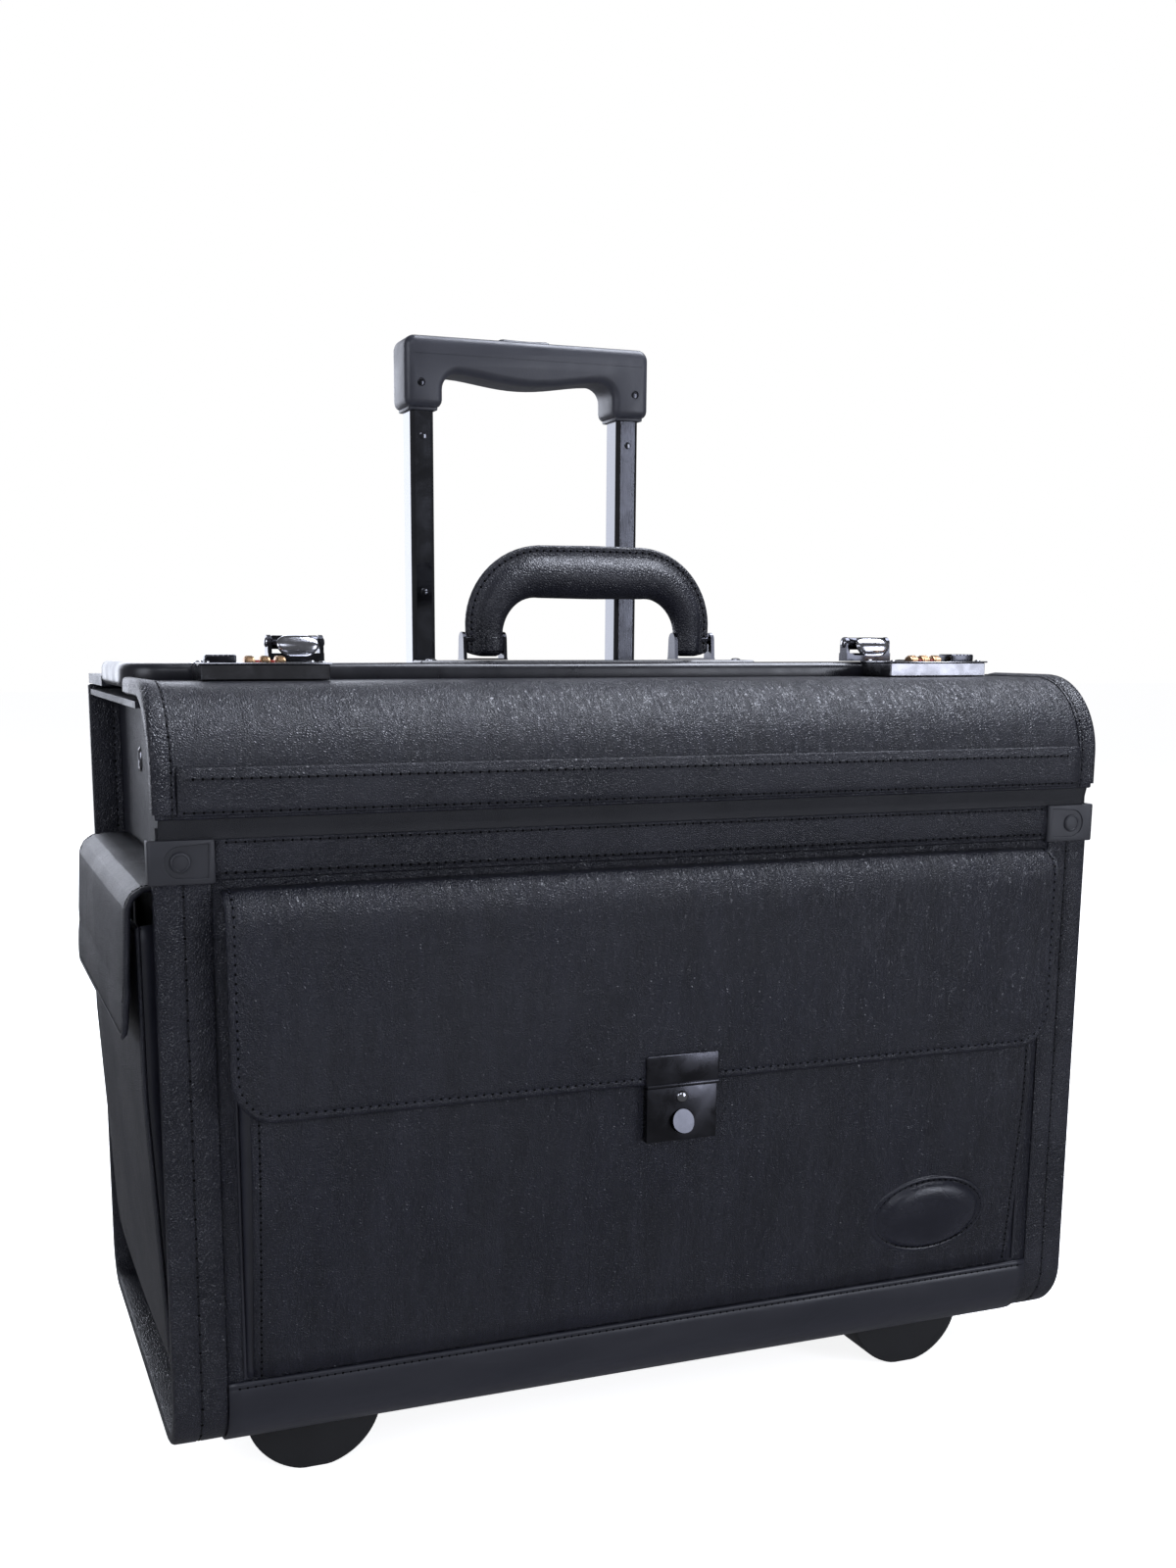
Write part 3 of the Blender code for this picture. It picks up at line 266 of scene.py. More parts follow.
@dataclass(frozen=True)
class PebbleLeather:
    """Fine pebble-grained leather of the bindings, bands and handle."""

    name: str
    dark: Place = (0.0052, 0.0056, 0.0092)
    pale: Place = (0.0125, 0.0131, 0.0205)
    scale: float = 820.0
    depth: float = 0.00036
    sheen: float = 0.34

    def build(self) -> Material:
        """Make the material."""
        sheet = NodeSheet(self.name)
        cells = sheet.cells(sheet.place, self.scale)
        domes = sheet.ramp(cells, ((0.0, 0.0), (0.30, 1.0)))
        fine = sheet.noise(sheet.place, self.scale * 2.2, 2.0, 0.5)
        wrinkles = sheet.noise(sheet.place, self.scale * 0.22, 4.0, 0.6, 0.8)
        height = sheet.sums(sheet.sums(domes, fine, 0.35), wrinkles, 1.1)
        cloud = sheet.noise(sheet.place, 28.0, 3.0, 0.6)
        colour = sheet.blend_colours(sheet.sums(sheet.ramp(cloud, ((0.3, 0.0), (0.7, 0.6))), domes, 0.3),
                                     self.dark, self.pale)
        roughness = sheet.ramp(cloud, ((0.3, self.sheen - 0.05), (0.7, self.sheen + 0.08)))
        sheet.bump(height, self.depth, 0.8)
        return sheet.surface(colour, roughness, specular_ior_level=0.50)


@dataclass(frozen=True)
class SmoothVinyl:
    """Soft smooth vinyl with faint dents."""

    name: str
    colour: Place = (0.0095, 0.0100, 0.0150)

    def build(self) -> Material:
        """Make the material."""
        sheet = NodeSheet(self.name)
        dents = sheet.noise(sheet.scaled((0.35, 1.0, 1.0)), 60.0, 3.0, 0.5, 0.4)
        fine = sheet.noise(sheet.place, 1500.0, 2.0, 0.5)
        lighter = tuple(1.5 * part for part in self.colour)
        sheet.bump(sheet.sums(dents, fine, 0.05), 0.0012, 0.5)
        return sheet.surface(sheet.blend_colours(dents, self.colour, lighter),
                             sheet.ramp(dents, ((0.3, 0.36), (0.7, 0.48))), specular_ior_level=0.50)


@dataclass(frozen=True)
class Thread:
    """Twisted sewing thread."""

    name: str
    colour: Place = (0.016, 0.017, 0.024)

    def build(self) -> Material:
        """Make the material."""
        sheet = NodeSheet(self.name)
        twist = sheet.noise(sheet.place, 2600.0, 2.0, 0.5)
        lighter = tuple(1.9 * part for part in self.colour)
        sheet.bump(twist, 0.00012, 0.8)
        return sheet.surface(sheet.blend_colours(twist, self.colour, lighter),
                             sheet.ramp(twist, ((0.3, 0.60), (0.7, 0.80))), specular_ior_level=0.25)


@dataclass(frozen=True)
class Moulding:
    """Moulded plastic or rubber with a fine spark-eroded texture and handling marks."""

    name: str
    colour: Place = (0.0125, 0.0130, 0.0170)
    sheen: float = 0.50
    texture: float = 0.00006
    scale: float = 2100.0
    specular: float = 0.5

    def build(self) -> Material:
        """Make the material."""
        sheet = NodeSheet(self.name)
        fine = sheet.noise(sheet.place, self.scale, 3.0, 0.6)
        marks = sheet.noise(sheet.scaled((1.0, 1.0, 0.4)), 55.0, 5.0, 0.65, 0.3)
        lighter = tuple(1.55 * part for part in self.colour)
        sheet.bump(sheet.sums(fine, marks, 0.4), self.texture, 0.9)
        return sheet.surface(sheet.blend_colours(marks, self.colour, lighter),
                             sheet.ramp(marks, ((0.3, self.sheen - 0.05), (0.7, self.sheen + 0.08))),
                             specular_ior_level=self.specular)


@dataclass(frozen=True)
class Plating:
    """Plated or lacquered metal with fine drawn lines, smudges and small scratches."""

    name: str
    colour: Place
    roughness: float
    metal: float = 1.0
    lines: Place = (0.06, 1.0, 1.0)
    coat: float = 0.0

    def build(self) -> Material:
        """Make the material."""
        sheet = NodeSheet(self.name)
        drawn = sheet.noise(sheet.scaled(self.lines), 2400.0, 3.0, 0.6)
        smudge = sheet.noise(sheet.place, 70.0, 4.0, 0.6, 0.5)
        darker = tuple(0.72 * part for part in self.colour)
        sheet.bump(sheet.sums(drawn, smudge, 0.6), 0.000025, 0.5)
        return sheet.surface(sheet.blend_colours(smudge, darker, self.colour),
                             sheet.sums(sheet.ramp(smudge, ((0.3, self.roughness * 0.7),
                                                            (0.7, self.roughness * 1.5))), drawn, 0.05),
                             metallic=self.metal, coat_weight=self.coat)


@dataclass(frozen=True)
class WovenLining:
    """Dark plain-weave lining glued to board."""

    name: str
    colour: Place = (0.020, 0.021, 0.027)

    def build(self) -> Material:
        """Make the material."""
        sheet = NodeSheet(self.name)
        weft = sheet.noise(sheet.scaled((0.08, 1.0, 1.0)), 1500.0, 1.0, 0.4)
        warp = sheet.noise(sheet.scaled((1.0, 1.0, 0.08)), 1500.0, 1.0, 0.4)
        lighter = tuple(1.8 * part for part in self.colour)
        height = sheet.sums(weft, warp, 1.0)
        sheet.bump(height, 0.00018, 0.8)
        threads = sheet.ramp(height, ((0.8, 0.0), (1.2, 1.0)))
        return sheet.surface(sheet.blend_colours(threads, self.colour, lighter),
                             sheet.ramp(weft, ((0.3, 0.75), (0.7, 0.92))), sheen_weight=0.2)


class Wardrobe:
    """Every finish of the case, made once and handed out by name."""

    def __init__(self) -> None:
        """Build all the materials."""
        self.front = Leatherette("leatherette_front", Grain.UPRIGHT_ON_FRONT).build()
        self.end = Leatherette("leatherette_end", Grain.UPRIGHT_ON_END, sheen=0.36).build()
        self.pebble = PebbleLeather("pebble_binding").build()
        self.band = PebbleLeather("pebble_band", scale=1000.0, sheen=0.38).build()
        self.grip_leather = PebbleLeather("pebble_grip", scale=760.0, depth=0.00022, sheen=0.36).build()
        self.patch = PebbleLeather("patch_leather", depth=0.00006, sheen=0.25).build()
        self.vinyl = SmoothVinyl("smooth_vinyl").build()
        self.hinge = PebbleLeather("hinge_cloth", (0.0045, 0.0048, 0.0072), (0.0095, 0.0100, 0.0140),
                                   1500.0, 0.00010, 0.50).build()
        self.thread = Thread("black_thread", (0.0042, 0.0044, 0.0060)).build()
        # A paler copy of the black thread: painted highlight for stitches that catch the light, used on the
        # flap and the grip.
        self.painted_glint_thread = Thread("thread_painted_glint", (0.012, 0.0125, 0.018)).build()
        # Near-black, barely reflecting material for discs set proud of the leather: painted shade standing in
        # for the dark inside of needle holes and eyelet openings.
        self.needle_hole = Moulding("needle_hole", (0.0005, 0.0005, 0.0006), 0.85, specular=0.05).build()
        self.plastic = Moulding("moulded_plastic").build()
        self.grip_plastic = Moulding("grip_plastic", (0.021, 0.022, 0.029), 0.40, 0.00009, 1700.0).build()
        self.rail_plastic = Moulding("rail_plastic", (0.008, 0.008, 0.011), 0.30, 0.00003).build()
        self.rubber = Moulding("foot_rubber", (0.0060, 0.0062, 0.0080), 0.62, 0.00008).build()
        self.tyre = Moulding("tyre_rubber", (0.0070, 0.0070, 0.0080), 0.70, 0.00012).build()
        self.lacquer = Plating("black_lacquer", (0.085, 0.087, 0.100), 0.13, 1.0, (1.0, 1.0, 0.05), 0.6).build()
        self.gunmetal = Plating("gunmetal_plate", (0.20, 0.20, 0.215), 0.20).build()
        self.satin = Plating("satin_plate", (0.070, 0.070, 0.080), 0.27).build()
        self.nickel = Plating("bright_nickel", (0.50, 0.50, 0.53), 0.13).build()
        self.black_nickel = Plating("black_nickel", (0.060, 0.061, 0.070), 0.16).build()
        self.brass = Plating("lacquered_brass", (0.46, 0.29, 0.16), 0.30).build()
        self.red = Moulding("red_enamel", (0.30, 0.035, 0.020), 0.35).build()
        self.steel = Plating("drawn_steel", (0.36, 0.36, 0.38), 0.28, 1.0, (1.0, 1.0, 0.05)).build()
        self.lining = WovenLining("woven_lining").build()

    def sewing(self, name: str, body: str, width: float = 0.0009, proud: float = 0.00028,
               bright: bool = False) -> "Needlework":
        """Start a piece's rows of stitches."""
        # bright picks the paler thread, whose colour is a painted highlight of thread catching the light.
        thread = self.painted_glint_thread if bright else self.thread
        return Needlework(name, body, thread, self.needle_hole, width, proud)


# ---------------------------------------------------------------- section lines
def arc(centre: Point, radius: float, start: float, end: float, steps: int) -> list[Point]:
    """Points of a circular arc, angles in degrees."""
    angles = [math.radians(start + (end - start) * step / steps) for step in range(steps + 1)]
    return [(centre[0] + radius * math.cos(angle), centre[1] + radius * math.sin(angle))
            for angle in angles]


def tangent(points: Sequence[Sequence[float]], index: int) -> Vector:
    """The direction of a line of points at one of them."""
    before = Vector(points[max(index - 1, 0)])
    after = Vector(points[min(index + 1, len(points) - 1)])
    return (after - before).normalized()


def evenly(low: float, high: float, count: int) -> list[float]:
    """count equal steps from low to high, with both ends."""
    return [low + (high - low) * index / count for index in range(count + 1)]


@dataclass
class SectionLine:
    """A line in a plane, measured along its length, with an outward normal.

    The plane is (y, z) for strips that run along X, and (x, z) for those along Y.
    """

    points: list[Point]
    outward: float
    lengths: list[float] = field(init=False)

    def __post_init__(self) -> None:
        """Measure the distance along the line to each of its points."""
        self.lengths = [0.0]
        for first, second in zip(self.points, self.points[1:]):
            self.lengths.append(self.lengths[-1] + math.dist(first, second))

    @property
    def length(self) -> float:
        """The whole line's length."""
        return self.lengths[-1]

    def normal(self, index: int) -> Vector:
        """The outward normal at one of the line's own points."""
        along = tangent(self.points, index)
        return Vector((-along.y, along.x)) * self.outward

    def at(self, distance: float) -> tuple[Vector, Vector]:
        """The point and the normal at a distance along the line."""
        index = 0
        while index < len(self.points) - 2 and self.lengths[index + 1] < distance:
            index += 1
        span = self.lengths[index + 1] - self.lengths[index]
        share = (distance - self.lengths[index]) / span
        point = Vector(self.points[index]).lerp(Vector(self.points[index + 1]), share)
        inside = min(max(share, 0.0), 1.0)
        normal = self.normal(index).lerp(self.normal(index + 1), inside).normalized()
        return point, normal

    def shifted(self, distance: float) -> "SectionLine":
        """The same line moved outwards by a distance."""
        moved = []
        for index, point in enumerate(self.points):
            placed = Vector(point) + self.normal(index) * distance
            moved.append((placed.x, placed.y))
        return SectionLine(moved, self.outward)

    def distance_at_height(self, height: float) -> float:
        """The first distance along the line where its second coordinate passes a height."""
        for index, (first, second) in enumerate(zip(self.points, self.points[1:])):
            low, high = sorted((first[1], second[1]))
            if low <= height <= high and high > low:
                share = (height - first[1]) / (second[1] - first[1])
                return self.lengths[index] + share * (self.lengths[index + 1] - self.lengths[index])
        raise ValueError("the line doesn't reach that height")


@dataclass
class Course:
    """A section line swept along X or Y: it turns (width, distance, rise) into a place."""

    line: SectionLine
    run: Run = Run.ALONG_X

    def place(self, across: float, distance: float, rise: float) -> Vector:
        """The world point at a width, a distance along the line and a rise off it."""
        point, normal = self.line.at(distance)
        lifted = point + normal * rise
        if self.run is Run.ALONG_X:
            return Vector((across, lifted.x, lifted.y))
        return Vector((lifted.x, across, lifted.y))

    def facing(self, distance: float) -> Vector:
        """The outward direction in the world at a distance along the line."""
        return (self.place(0.0, distance, 1.0) - self.place(0.0, distance, 0.0)).normalized()


# ---------------------------------------------------------------- mesh tools
def show(obj: Object) -> None:
    """Put an object in the scene."""
    bpy.context.scene.collection.objects.link(obj)


def finished(name: str, bm: Mesh, material: Material, body: str,
             smooth: float = 40.0, turn_out: bool = True) -> Object:
    """Turn a bmesh into a piece that rides on a body.

    Args:
        name: the piece's name.
        bm: its mesh, measured across from the case's own middle, freed here.
        material: its finish.
        body: the body that it moves with.
        smooth: edges that turn by more degrees than this stay sharp.
        turn_out: whether to recalculate the normals, for closed shapes.

    Returns:
        The new object.
    """
    bmesh.ops.remove_doubles(bm, verts=bm.verts, dist=SAME_PLACE)
    bmesh.ops.translate(bm, verts=bm.verts, vec=(MIDDLE_X, 0.0, 0.0))
    if turn_out:
        bmesh.ops.recalc_face_normals(bm, faces=bm.faces)
    mesh = bpy.data.meshes.new(name)
    bm.to_mesh(mesh)
    bm.free()
    mesh.materials.append(material)
    mesh.shade_smooth()
    mesh.set_sharp_from_angle(angle=math.radians(smooth))
    obj = bpy.data.objects.new(name, mesh)
    show(obj)
    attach(obj, body)
    LOG.info("%s on %s: %d faces", name, body, len(mesh.polygons))
    return obj


def thicken(obj: Object, thickness: float) -> Object:
    """Give a sheet its thickness, inwards from its outer face."""
    wall = obj.modifiers.new("wall", "SOLIDIFY")
    wall.thickness = thickness
    wall.offset = -1.0
    wall.use_even_offset = True
    return obj


def laid(name: str, bm: Mesh, material: Material, body: str,
         wall: float) -> Object:
    """Turn a panel's outer face into a sheet with a wall, as a piece that rides on a body."""
    return thicken(finished(name, bm, material, body, turn_out=False), wall)


def soften(obj: Object, width: float, segments: int = 2, angle: float = 40.0) -> Object:
    """Round the sharp edges with a Bevel modifier."""
    bevel = obj.modifiers.new("edge", "BEVEL")
    bevel.width = width
    bevel.segments = segments
    bevel.limit_method = "ANGLE"
    bevel.angle_limit = math.radians(angle)
    bevel.harden_normals = True
    return obj


def dress(material: Material, *nodes: str) -> None:
    """Give CAD nodes a finish."""
    for node in nodes:
        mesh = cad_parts[node].data
        mesh.materials.clear()
        mesh.materials.append(material)


def block(low: Sequence[float], high: Sequence[float]) -> Mesh:
    """A box between two corners."""
    bm = bmesh.new()
    size = Vector(high) - Vector(low)
    middle = (Vector(high) + Vector(low)) / 2
    bmesh.ops.create_cube(bm, size=1.0, matrix=Matrix.Translation(middle) @ Matrix.Diagonal((*size, 1.0)))
    return bm


def bevelled(bm: Mesh, width: float, segments: int = 3, angle: float = 30.0) -> Mesh:
    """Round every edge of a bmesh that turns by more than an angle."""
    bmesh.ops.recalc_face_normals(bm, faces=bm.faces)
    edges = [edge for edge in bm.edges if edge.calc_face_angle(0.0) > math.radians(angle)]
    bmesh.ops.bevel(bm, geom=edges, offset=width, segments=segments, profile=0.5, affect="EDGES",
                    clamp_overlap=True, material=-1)
    return bm


def prism(outline: Sequence[Point], axis: str, start: float, end: float) -> Mesh:
    """Extrude an outline along an axis: (y, z) along X, (x, z) along Y, (x, y) along Z."""
    def lift(point: Point) -> Place:
        """Put an outline point at the start of the extrusion."""
        first, second = point
        return {"X": (start, first, second), "Y": (first, start, second), "Z": (first, second, start)}[axis]

    bm = bmesh.new()
    face = bm.faces.new([bm.verts.new(lift(point)) for point in outline])
    extruded = bmesh.ops.extrude_face_region(bm, geom=[face])
    moved = [item for item in extruded["geom"] if isinstance(item, bmesh.types.BMVert)]
    direction = {"X": (1, 0, 0), "Y": (0, 1, 0), "Z": (0, 0, 1)}[axis]
    bmesh.ops.translate(bm, verts=moved, vec=Vector(direction) * (end - start))
    bmesh.ops.recalc_face_normals(bm, faces=bm.faces)
    return bm


def turned(centre: Vector, direction: Vector, profile: Sequence[Point], steps: int = 32) -> Mesh:
    """Spin a closed (along, radius) profile about an axis."""
    axis = direction.normalized()
    side = axis.orthogonal().normalized()
    bm = bmesh.new()
    ring = [bm.verts.new(centre + axis * along + side * radius) for along, radius in profile]
    edges = [bm.edges.new(pair) for pair in zip(ring, ring[1:])]
    if math.dist(profile[0], profile[-1]) > SAME_PLACE and min(profile[0][1], profile[-1][1]) > SAME_PLACE:
        edges.append(bm.edges.new((ring[-1], ring[0])))
    bmesh.ops.spin(bm, geom=ring + edges, cent=centre, axis=axis, angle=2 * math.pi, steps=steps,
                   use_merge=True, use_duplicate=False)
    bmesh.ops.remove_doubles(bm, verts=bm.verts, dist=SAME_PLACE)
    bmesh.ops.recalc_face_normals(bm, faces=bm.faces)
    return bm


def merged(*parts: Mesh) -> Mesh:
    """Put several bmeshes in one, and free them."""
    whole = bmesh.new()
    for part in parts:
        mesh = bpy.data.meshes.new("part")
        part.to_mesh(mesh)
        part.free()
        whole.from_mesh(mesh)
        bpy.data.meshes.remove(mesh)
    return whole


def carved(target: Mesh, *tools: Mesh) -> Mesh:
    """Cut tools out of a target with an exact Boolean and return the result."""
    objects = []
    for bm in (target, *tools):
        mesh = bpy.data.meshes.new("carving")
        bmesh.ops.recalc_face_normals(bm, faces=bm.faces)
        bm.to_mesh(mesh)
        bm.free()
        obj = bpy.data.objects.new("carving", mesh)
        show(obj)
        objects.append(obj)
    for tool in objects[1:]:
        cut = objects[0].modifiers.new("cut", "BOOLEAN")
        cut.operation = "DIFFERENCE"
        cut.solver = "EXACT"
        cut.object = tool
    graph = bpy.context.evaluated_depsgraph_get()
    result = bmesh.new()
    result.from_mesh(objects[0].evaluated_get(graph).to_mesh())
    for obj in objects:
        mesh = obj.data
        bpy.data.objects.remove(obj, do_unlink=True)
        bpy.data.meshes.remove(mesh)
    return result


def swept(rings: Sequence[Sequence[Vector]], closed: bool = True, capped: bool = True) -> Mesh:
    """Extrude a ring of edges from station to station.

    Args:
        rings: the ring's points at each station, the same number at each.
        closed: whether the ring's last point joins its first.
        capped: whether to fill a closed ring's two ends.

    Returns:
        The new bmesh.
    """
    bm = bmesh.new()
    verts = [bm.verts.new(point) for point in rings[0]]
    edges = [bm.edges.new(pair) for pair in zip(verts, verts[1:] + (verts[:1] if closed else []))]
    first = list(edges)
    for ring in rings[1:]:
        extruded = bmesh.ops.extrude_edge_only(bm, edges=edges)["geom"]
        verts = [item for item in extruded if isinstance(item, bmesh.types.BMVert)]
        edges = [item for item in extruded if isinstance(item, bmesh.types.BMEdge)]
        for vert, point in zip(verts, ring):
            vert.co = point
    if closed and capped:
        bmesh.ops.contextual_create(bm, geom=first)
        bmesh.ops.contextual_create(bm, geom=edges)
    bmesh.ops.recalc_face_normals(bm, faces=bm.faces)
    return bm


def squared_ring(place: Vector, across: Vector, up: Vector, size: Point, flat: Point,
                 steps: int) -> list[Vector]:
    """A ring with half-sizes along two directions, squarer as its flat powers shrink."""
    ring = []
    for step in range(steps):
        angle = 2 * math.pi * step / steps
        cosine, sine = math.cos(angle), math.sin(angle)
        ring.append(place + across * (math.copysign(abs(cosine) ** flat[0], cosine) * size[0])
                    + up * (math.copysign(abs(sine) ** flat[1], sine) * size[1]))
    return ring


def graded(low: float, high: float, fine_low: bool, fine_high: bool, step: float,
           near: Sequence[float]) -> list[float]:
    """Grid stops from low to high, set close together near the edges that have a seam."""
    stops = {round(low, ROUNDING), round(high, ROUNDING)}
    start = low + (near[-1] if fine_low else 0.0)
    end = high - (near[-1] if fine_high else 0.0)
    count = max(int(round((end - start) / step)), 1)
    stops.update(round(stop, ROUNDING) for stop in evenly(start, end, count))
    if fine_low:
        stops.update(round(low + gap, ROUNDING) for gap in near)
    if fine_high:
        stops.update(round(high - gap, ROUNDING) for gap in near)
    return sorted(stops)


@dataclass(frozen=True)
class Seam:
    """How a sewn edge shapes a panel: a rolled rim, a furrow under the stitches and a soft fill."""

    inset: float = 0.0032
    furrow: float = 0.00035
    rim: float = 0.0010
    puff: float = 0.0
    reach: float = 0.020

    def rise(self, gap: float) -> float:
        """The surface's rise at a distance from the edge."""
        rolled = -self.rim * max(0.0, 1.0 - gap / 0.0016) ** 2
        sunk = -self.furrow * math.exp(-((gap - self.inset) / 0.0007) ** 2)
        filled = self.puff * (1.0 - math.exp(-max(gap - self.inset, 0.0) / self.reach))
        return rolled + sunk + filled

    @property
    def near(self) -> list[float]:
        """Distances from the edge where the surface needs grid lines."""
        rim = [0.0003, 0.0007, 0.0012, 0.0018]
        line = [self.inset + gap for gap in (-0.0010, -0.0005, 0.0, 0.0005, 0.0010, 0.0025, 0.0060)]
        return rim + [gap for gap in line if gap > rim[-1] + 0.0002]


@dataclass
class Panel:
    """A sheet of leather laid over a course, with rounded corners and sewn edges."""

    course: Course
    width: Point
    span: Point
    seam: Seam = Seam()
    edges: tuple[Edge, ...] = (Edge.LOW, Edge.HIGH, Edge.START, Edge.END)
    start_radius: float = 0.0
    end_radius: float = 0.0
    rise: float = 0.0
    step: float = 0.008
    detail: Optional[Callable[[float, float], float]] = None

    def half(self, distance: float) -> float:
        """Half the width at a distance along the course, narrowed at rounded corners."""
        half = (self.width[1] - self.width[0]) / 2
        from_start = distance - self.span[0]
        from_end = self.span[1] - distance
        for gap, radius in ((from_start, self.start_radius), (from_end, self.end_radius)):
            if gap < radius:
                half -= radius - math.sqrt(max(radius ** 2 - (radius - gap) ** 2, 0.0))
        return half

    def gap(self, across: float, distance: float) -> float:
        """The distance to the nearest sewn edge."""
        sides = [across - self.width[0]] if Edge.LOW in self.edges else []
        sides += [self.width[1] - across] if Edge.HIGH in self.edges else []
        ends = [distance - self.span[0]] if Edge.START in self.edges else []
        ends += [self.span[1] - distance] if Edge.END in self.edges else []
        side = min(sides, default=1.0)
        end = min(ends, default=1.0)
        radius = self.end_radius if self.span[1] - distance < distance - self.span[0] else self.start_radius
        if side < radius and end < radius:
            return max(radius - math.hypot(radius - side, radius - end), 0.0)
        return max(min(side, end), 0.0)

    def lift(self, across: float, distance: float) -> float:
        """The surface's rise off the course at a place."""
        rise = self.rise + self.seam.rise(self.gap(across, distance))
        return rise if self.detail is None else rise + self.detail(across, distance)

    def build(self) -> Mesh:
        """Make the sheet's outer face."""
        across = graded(*self.width, Edge.LOW in self.edges, Edge.HIGH in self.edges, self.step, self.seam.near)
        along = graded(*self.span, Edge.START in self.edges, Edge.END in self.edges, self.step, self.seam.near)
        bm = bmesh.new()
        bmesh.ops.create_grid(bm, x_segments=len(across) - 1, y_segments=len(along) - 1, size=1.0)
        middle = (self.width[0] + self.width[1]) / 2
        half = (self.width[1] - self.width[0]) / 2
        for vert in bm.verts:
            column = round((vert.co.x + 1.0) / 2.0 * (len(across) - 1))
            row = round((vert.co.y + 1.0) / 2.0 * (len(along) - 1))
            distance = along[row]
            place = middle + (across[column] - middle) * self.half(distance) / half
            vert.co = self.course.place(place, distance, self.lift(place, distance))
        bmesh.ops.remove_doubles(bm, verts=bm.verts, dist=SAME_PLACE)
        face = max(bm.faces, key=lambda item: item.calc_area())
        bm.normal_update()
        if face.normal.dot(self.outward_near(face.calc_center_median())) < 0.0:
            bmesh.ops.reverse_faces(bm, faces=bm.faces)
        return bm

    def outward_near(self, place: Vector) -> Vector:
        """The outward direction where the course passes nearest a place."""
        across = place.x if self.course.run is Run.ALONG_X else place.y
        return self.course.facing(min(evenly(*self.span, 60), key=lambda item: (
            self.course.place(across, item, self.rise) - place).length))

    def seam_path(self, inset: float, edges: Sequence[Edge]) -> list[tuple[Vector, Vector]]:
        """Points and outward directions along a line at a distance inside some edges in turn."""
        low, high = self.width[0] + inset, self.width[1] - inset
        start, end = self.span[0] + inset, self.span[1] - inset
        begin_radius = max(self.start_radius - inset, 0.0)
        finish_radius = max(self.end_radius - inset, 0.0)
        begin = start + begin_radius if Edge.START in self.edges else self.span[0]
        finish = end - finish_radius if Edge.END in self.edges else self.span[1]
        flat: list[Point] = []
        for edge in edges:
            if edge is Edge.LOW:
                flat += [(low, begin), (low, finish)]
                if finish_radius > 0.0 and Edge.END in edges:
                    flat += arc((low + finish_radius, end - finish_radius), finish_radius, 180, 90, 8)
            elif edge is Edge.END:
                flat += [(low + finish_radius, end), (high - finish_radius, end)]
                if finish_radius > 0.0 and Edge.HIGH in edges:
                    flat += arc((high - finish_radius, end - finish_radius), finish_radius, 90, 0, 8)
            elif edge is Edge.HIGH:
                flat += [(high, finish), (high, begin)]
            else:
                flat += [(high - begin_radius, start), (low + begin_radius, start)]
        return self.lifted(flat)

    def lifted(self, flat: Sequence[Point]) -> list[tuple[Vector, Vector]]:
        """Put a flat (width, distance) line on the panel's surface, in short steps."""
        path = []
        for first, second in zip(flat, flat[1:]):
            steps = max(int(math.dist(first, second) / 0.002), 1)
            for index in range(steps):
                share = index / steps
                across = first[0] + (second[0] - first[0]) * share
                distance = first[1] + (second[1] - first[1]) * share
                place = self.course.place(across, distance, self.lift(across, distance))
                path.append((place, self.course.facing(distance)))
        return path


@dataclass
class Needlework:
    """Rows of stitches, with near-black discs between them as painted shade of the needle holes, sewn on one
    body.
    """

    name: str
    body: str
    thread: Material
    # hole is the near-black painted shade laid over the needle holes.
    hole: Material
    width: float
    proud: float
    threads: Mesh = field(default_factory=bmesh.new)
    holes: Mesh = field(default_factory=bmesh.new)

    def row(self, path: Sequence[tuple[Vector, Vector]], pitch: float = STITCH, filled: float = 0.74) -> None:
        """Sew along a path of points and outward directions.

        Args:
            path: the line that the stitches follow.
            pitch: the distance from stitch to stitch.
            filled: the share of the pitch that the thread covers.
        """
        carried = 0.0
        stops = []
        for (first, facing), (second, _) in zip(path, path[1:]):
            length = (second - first).length
            while length > 0.0 and carried <= length:
                stops.append((first.lerp(second, carried / length), (second - first).normalized(), facing))
                carried += pitch
            carried -= length
        for place, along, facing in stops:
            across = facing.cross(along).normalized()
            turn = Matrix((along, across, facing)).transposed().to_4x4()
            size = Matrix.Diagonal((pitch * filled / 2, self.width / 2, self.proud, 1.0))
            bmesh.ops.create_uvsphere(self.threads, u_segments=6, v_segments=4, radius=1.0,
                                      matrix=Matrix.Translation(place + facing * 0.00005) @ turn @ size)
            # The pit is a flat near-black disc just proud of the surface: painted shade of the needle hole, not
            # a real hole.
            pit = Matrix.Diagonal((0.00062, 0.00066, 0.00022, 1.0))
            middle = place + along * (pitch / 2) + facing * 0.00008
            bmesh.ops.create_uvsphere(self.holes, u_segments=6, v_segments=4, radius=1.0,
                                      matrix=Matrix.Translation(middle) @ turn @ pit)

    def finish(self) -> None:
        """Make the two pieces."""
        finished(self.name + "_stitches", self.threads, self.thread, self.body, 80.0, False)
        finished(self.name + "_needle_holes", self.holes, self.hole, self.body, 80.0, False)


def strip(course: Course, profile: Sequence[Point], span: Point, step: float = 0.004) -> Mesh:
    """Sweep a closed (across, rise) profile along a course, with its two ends filled."""
    count = max(int(round((span[1] - span[0]) / step)), 1)
    stops = {round(stop, ROUNDING) for stop in evenly(*span, count)}
    stops.update(round(length, ROUNDING) for length in course.line.lengths if span[0] < length < span[1])
    rings = [[course.place(across, stop, rise) for across, rise in profile] for stop in sorted(stops)]
    return swept(rings)


def straight_path(course: Course, across: float, span: Point, rise: float) -> list[tuple[Vector, Vector]]:
    """A stitch path at one width along a course."""
    steps = max(int((span[1] - span[0]) / 0.003), 1)
    return [(course.place(across, stop, rise), course.facing(stop)) for stop in evenly(*span, steps)]


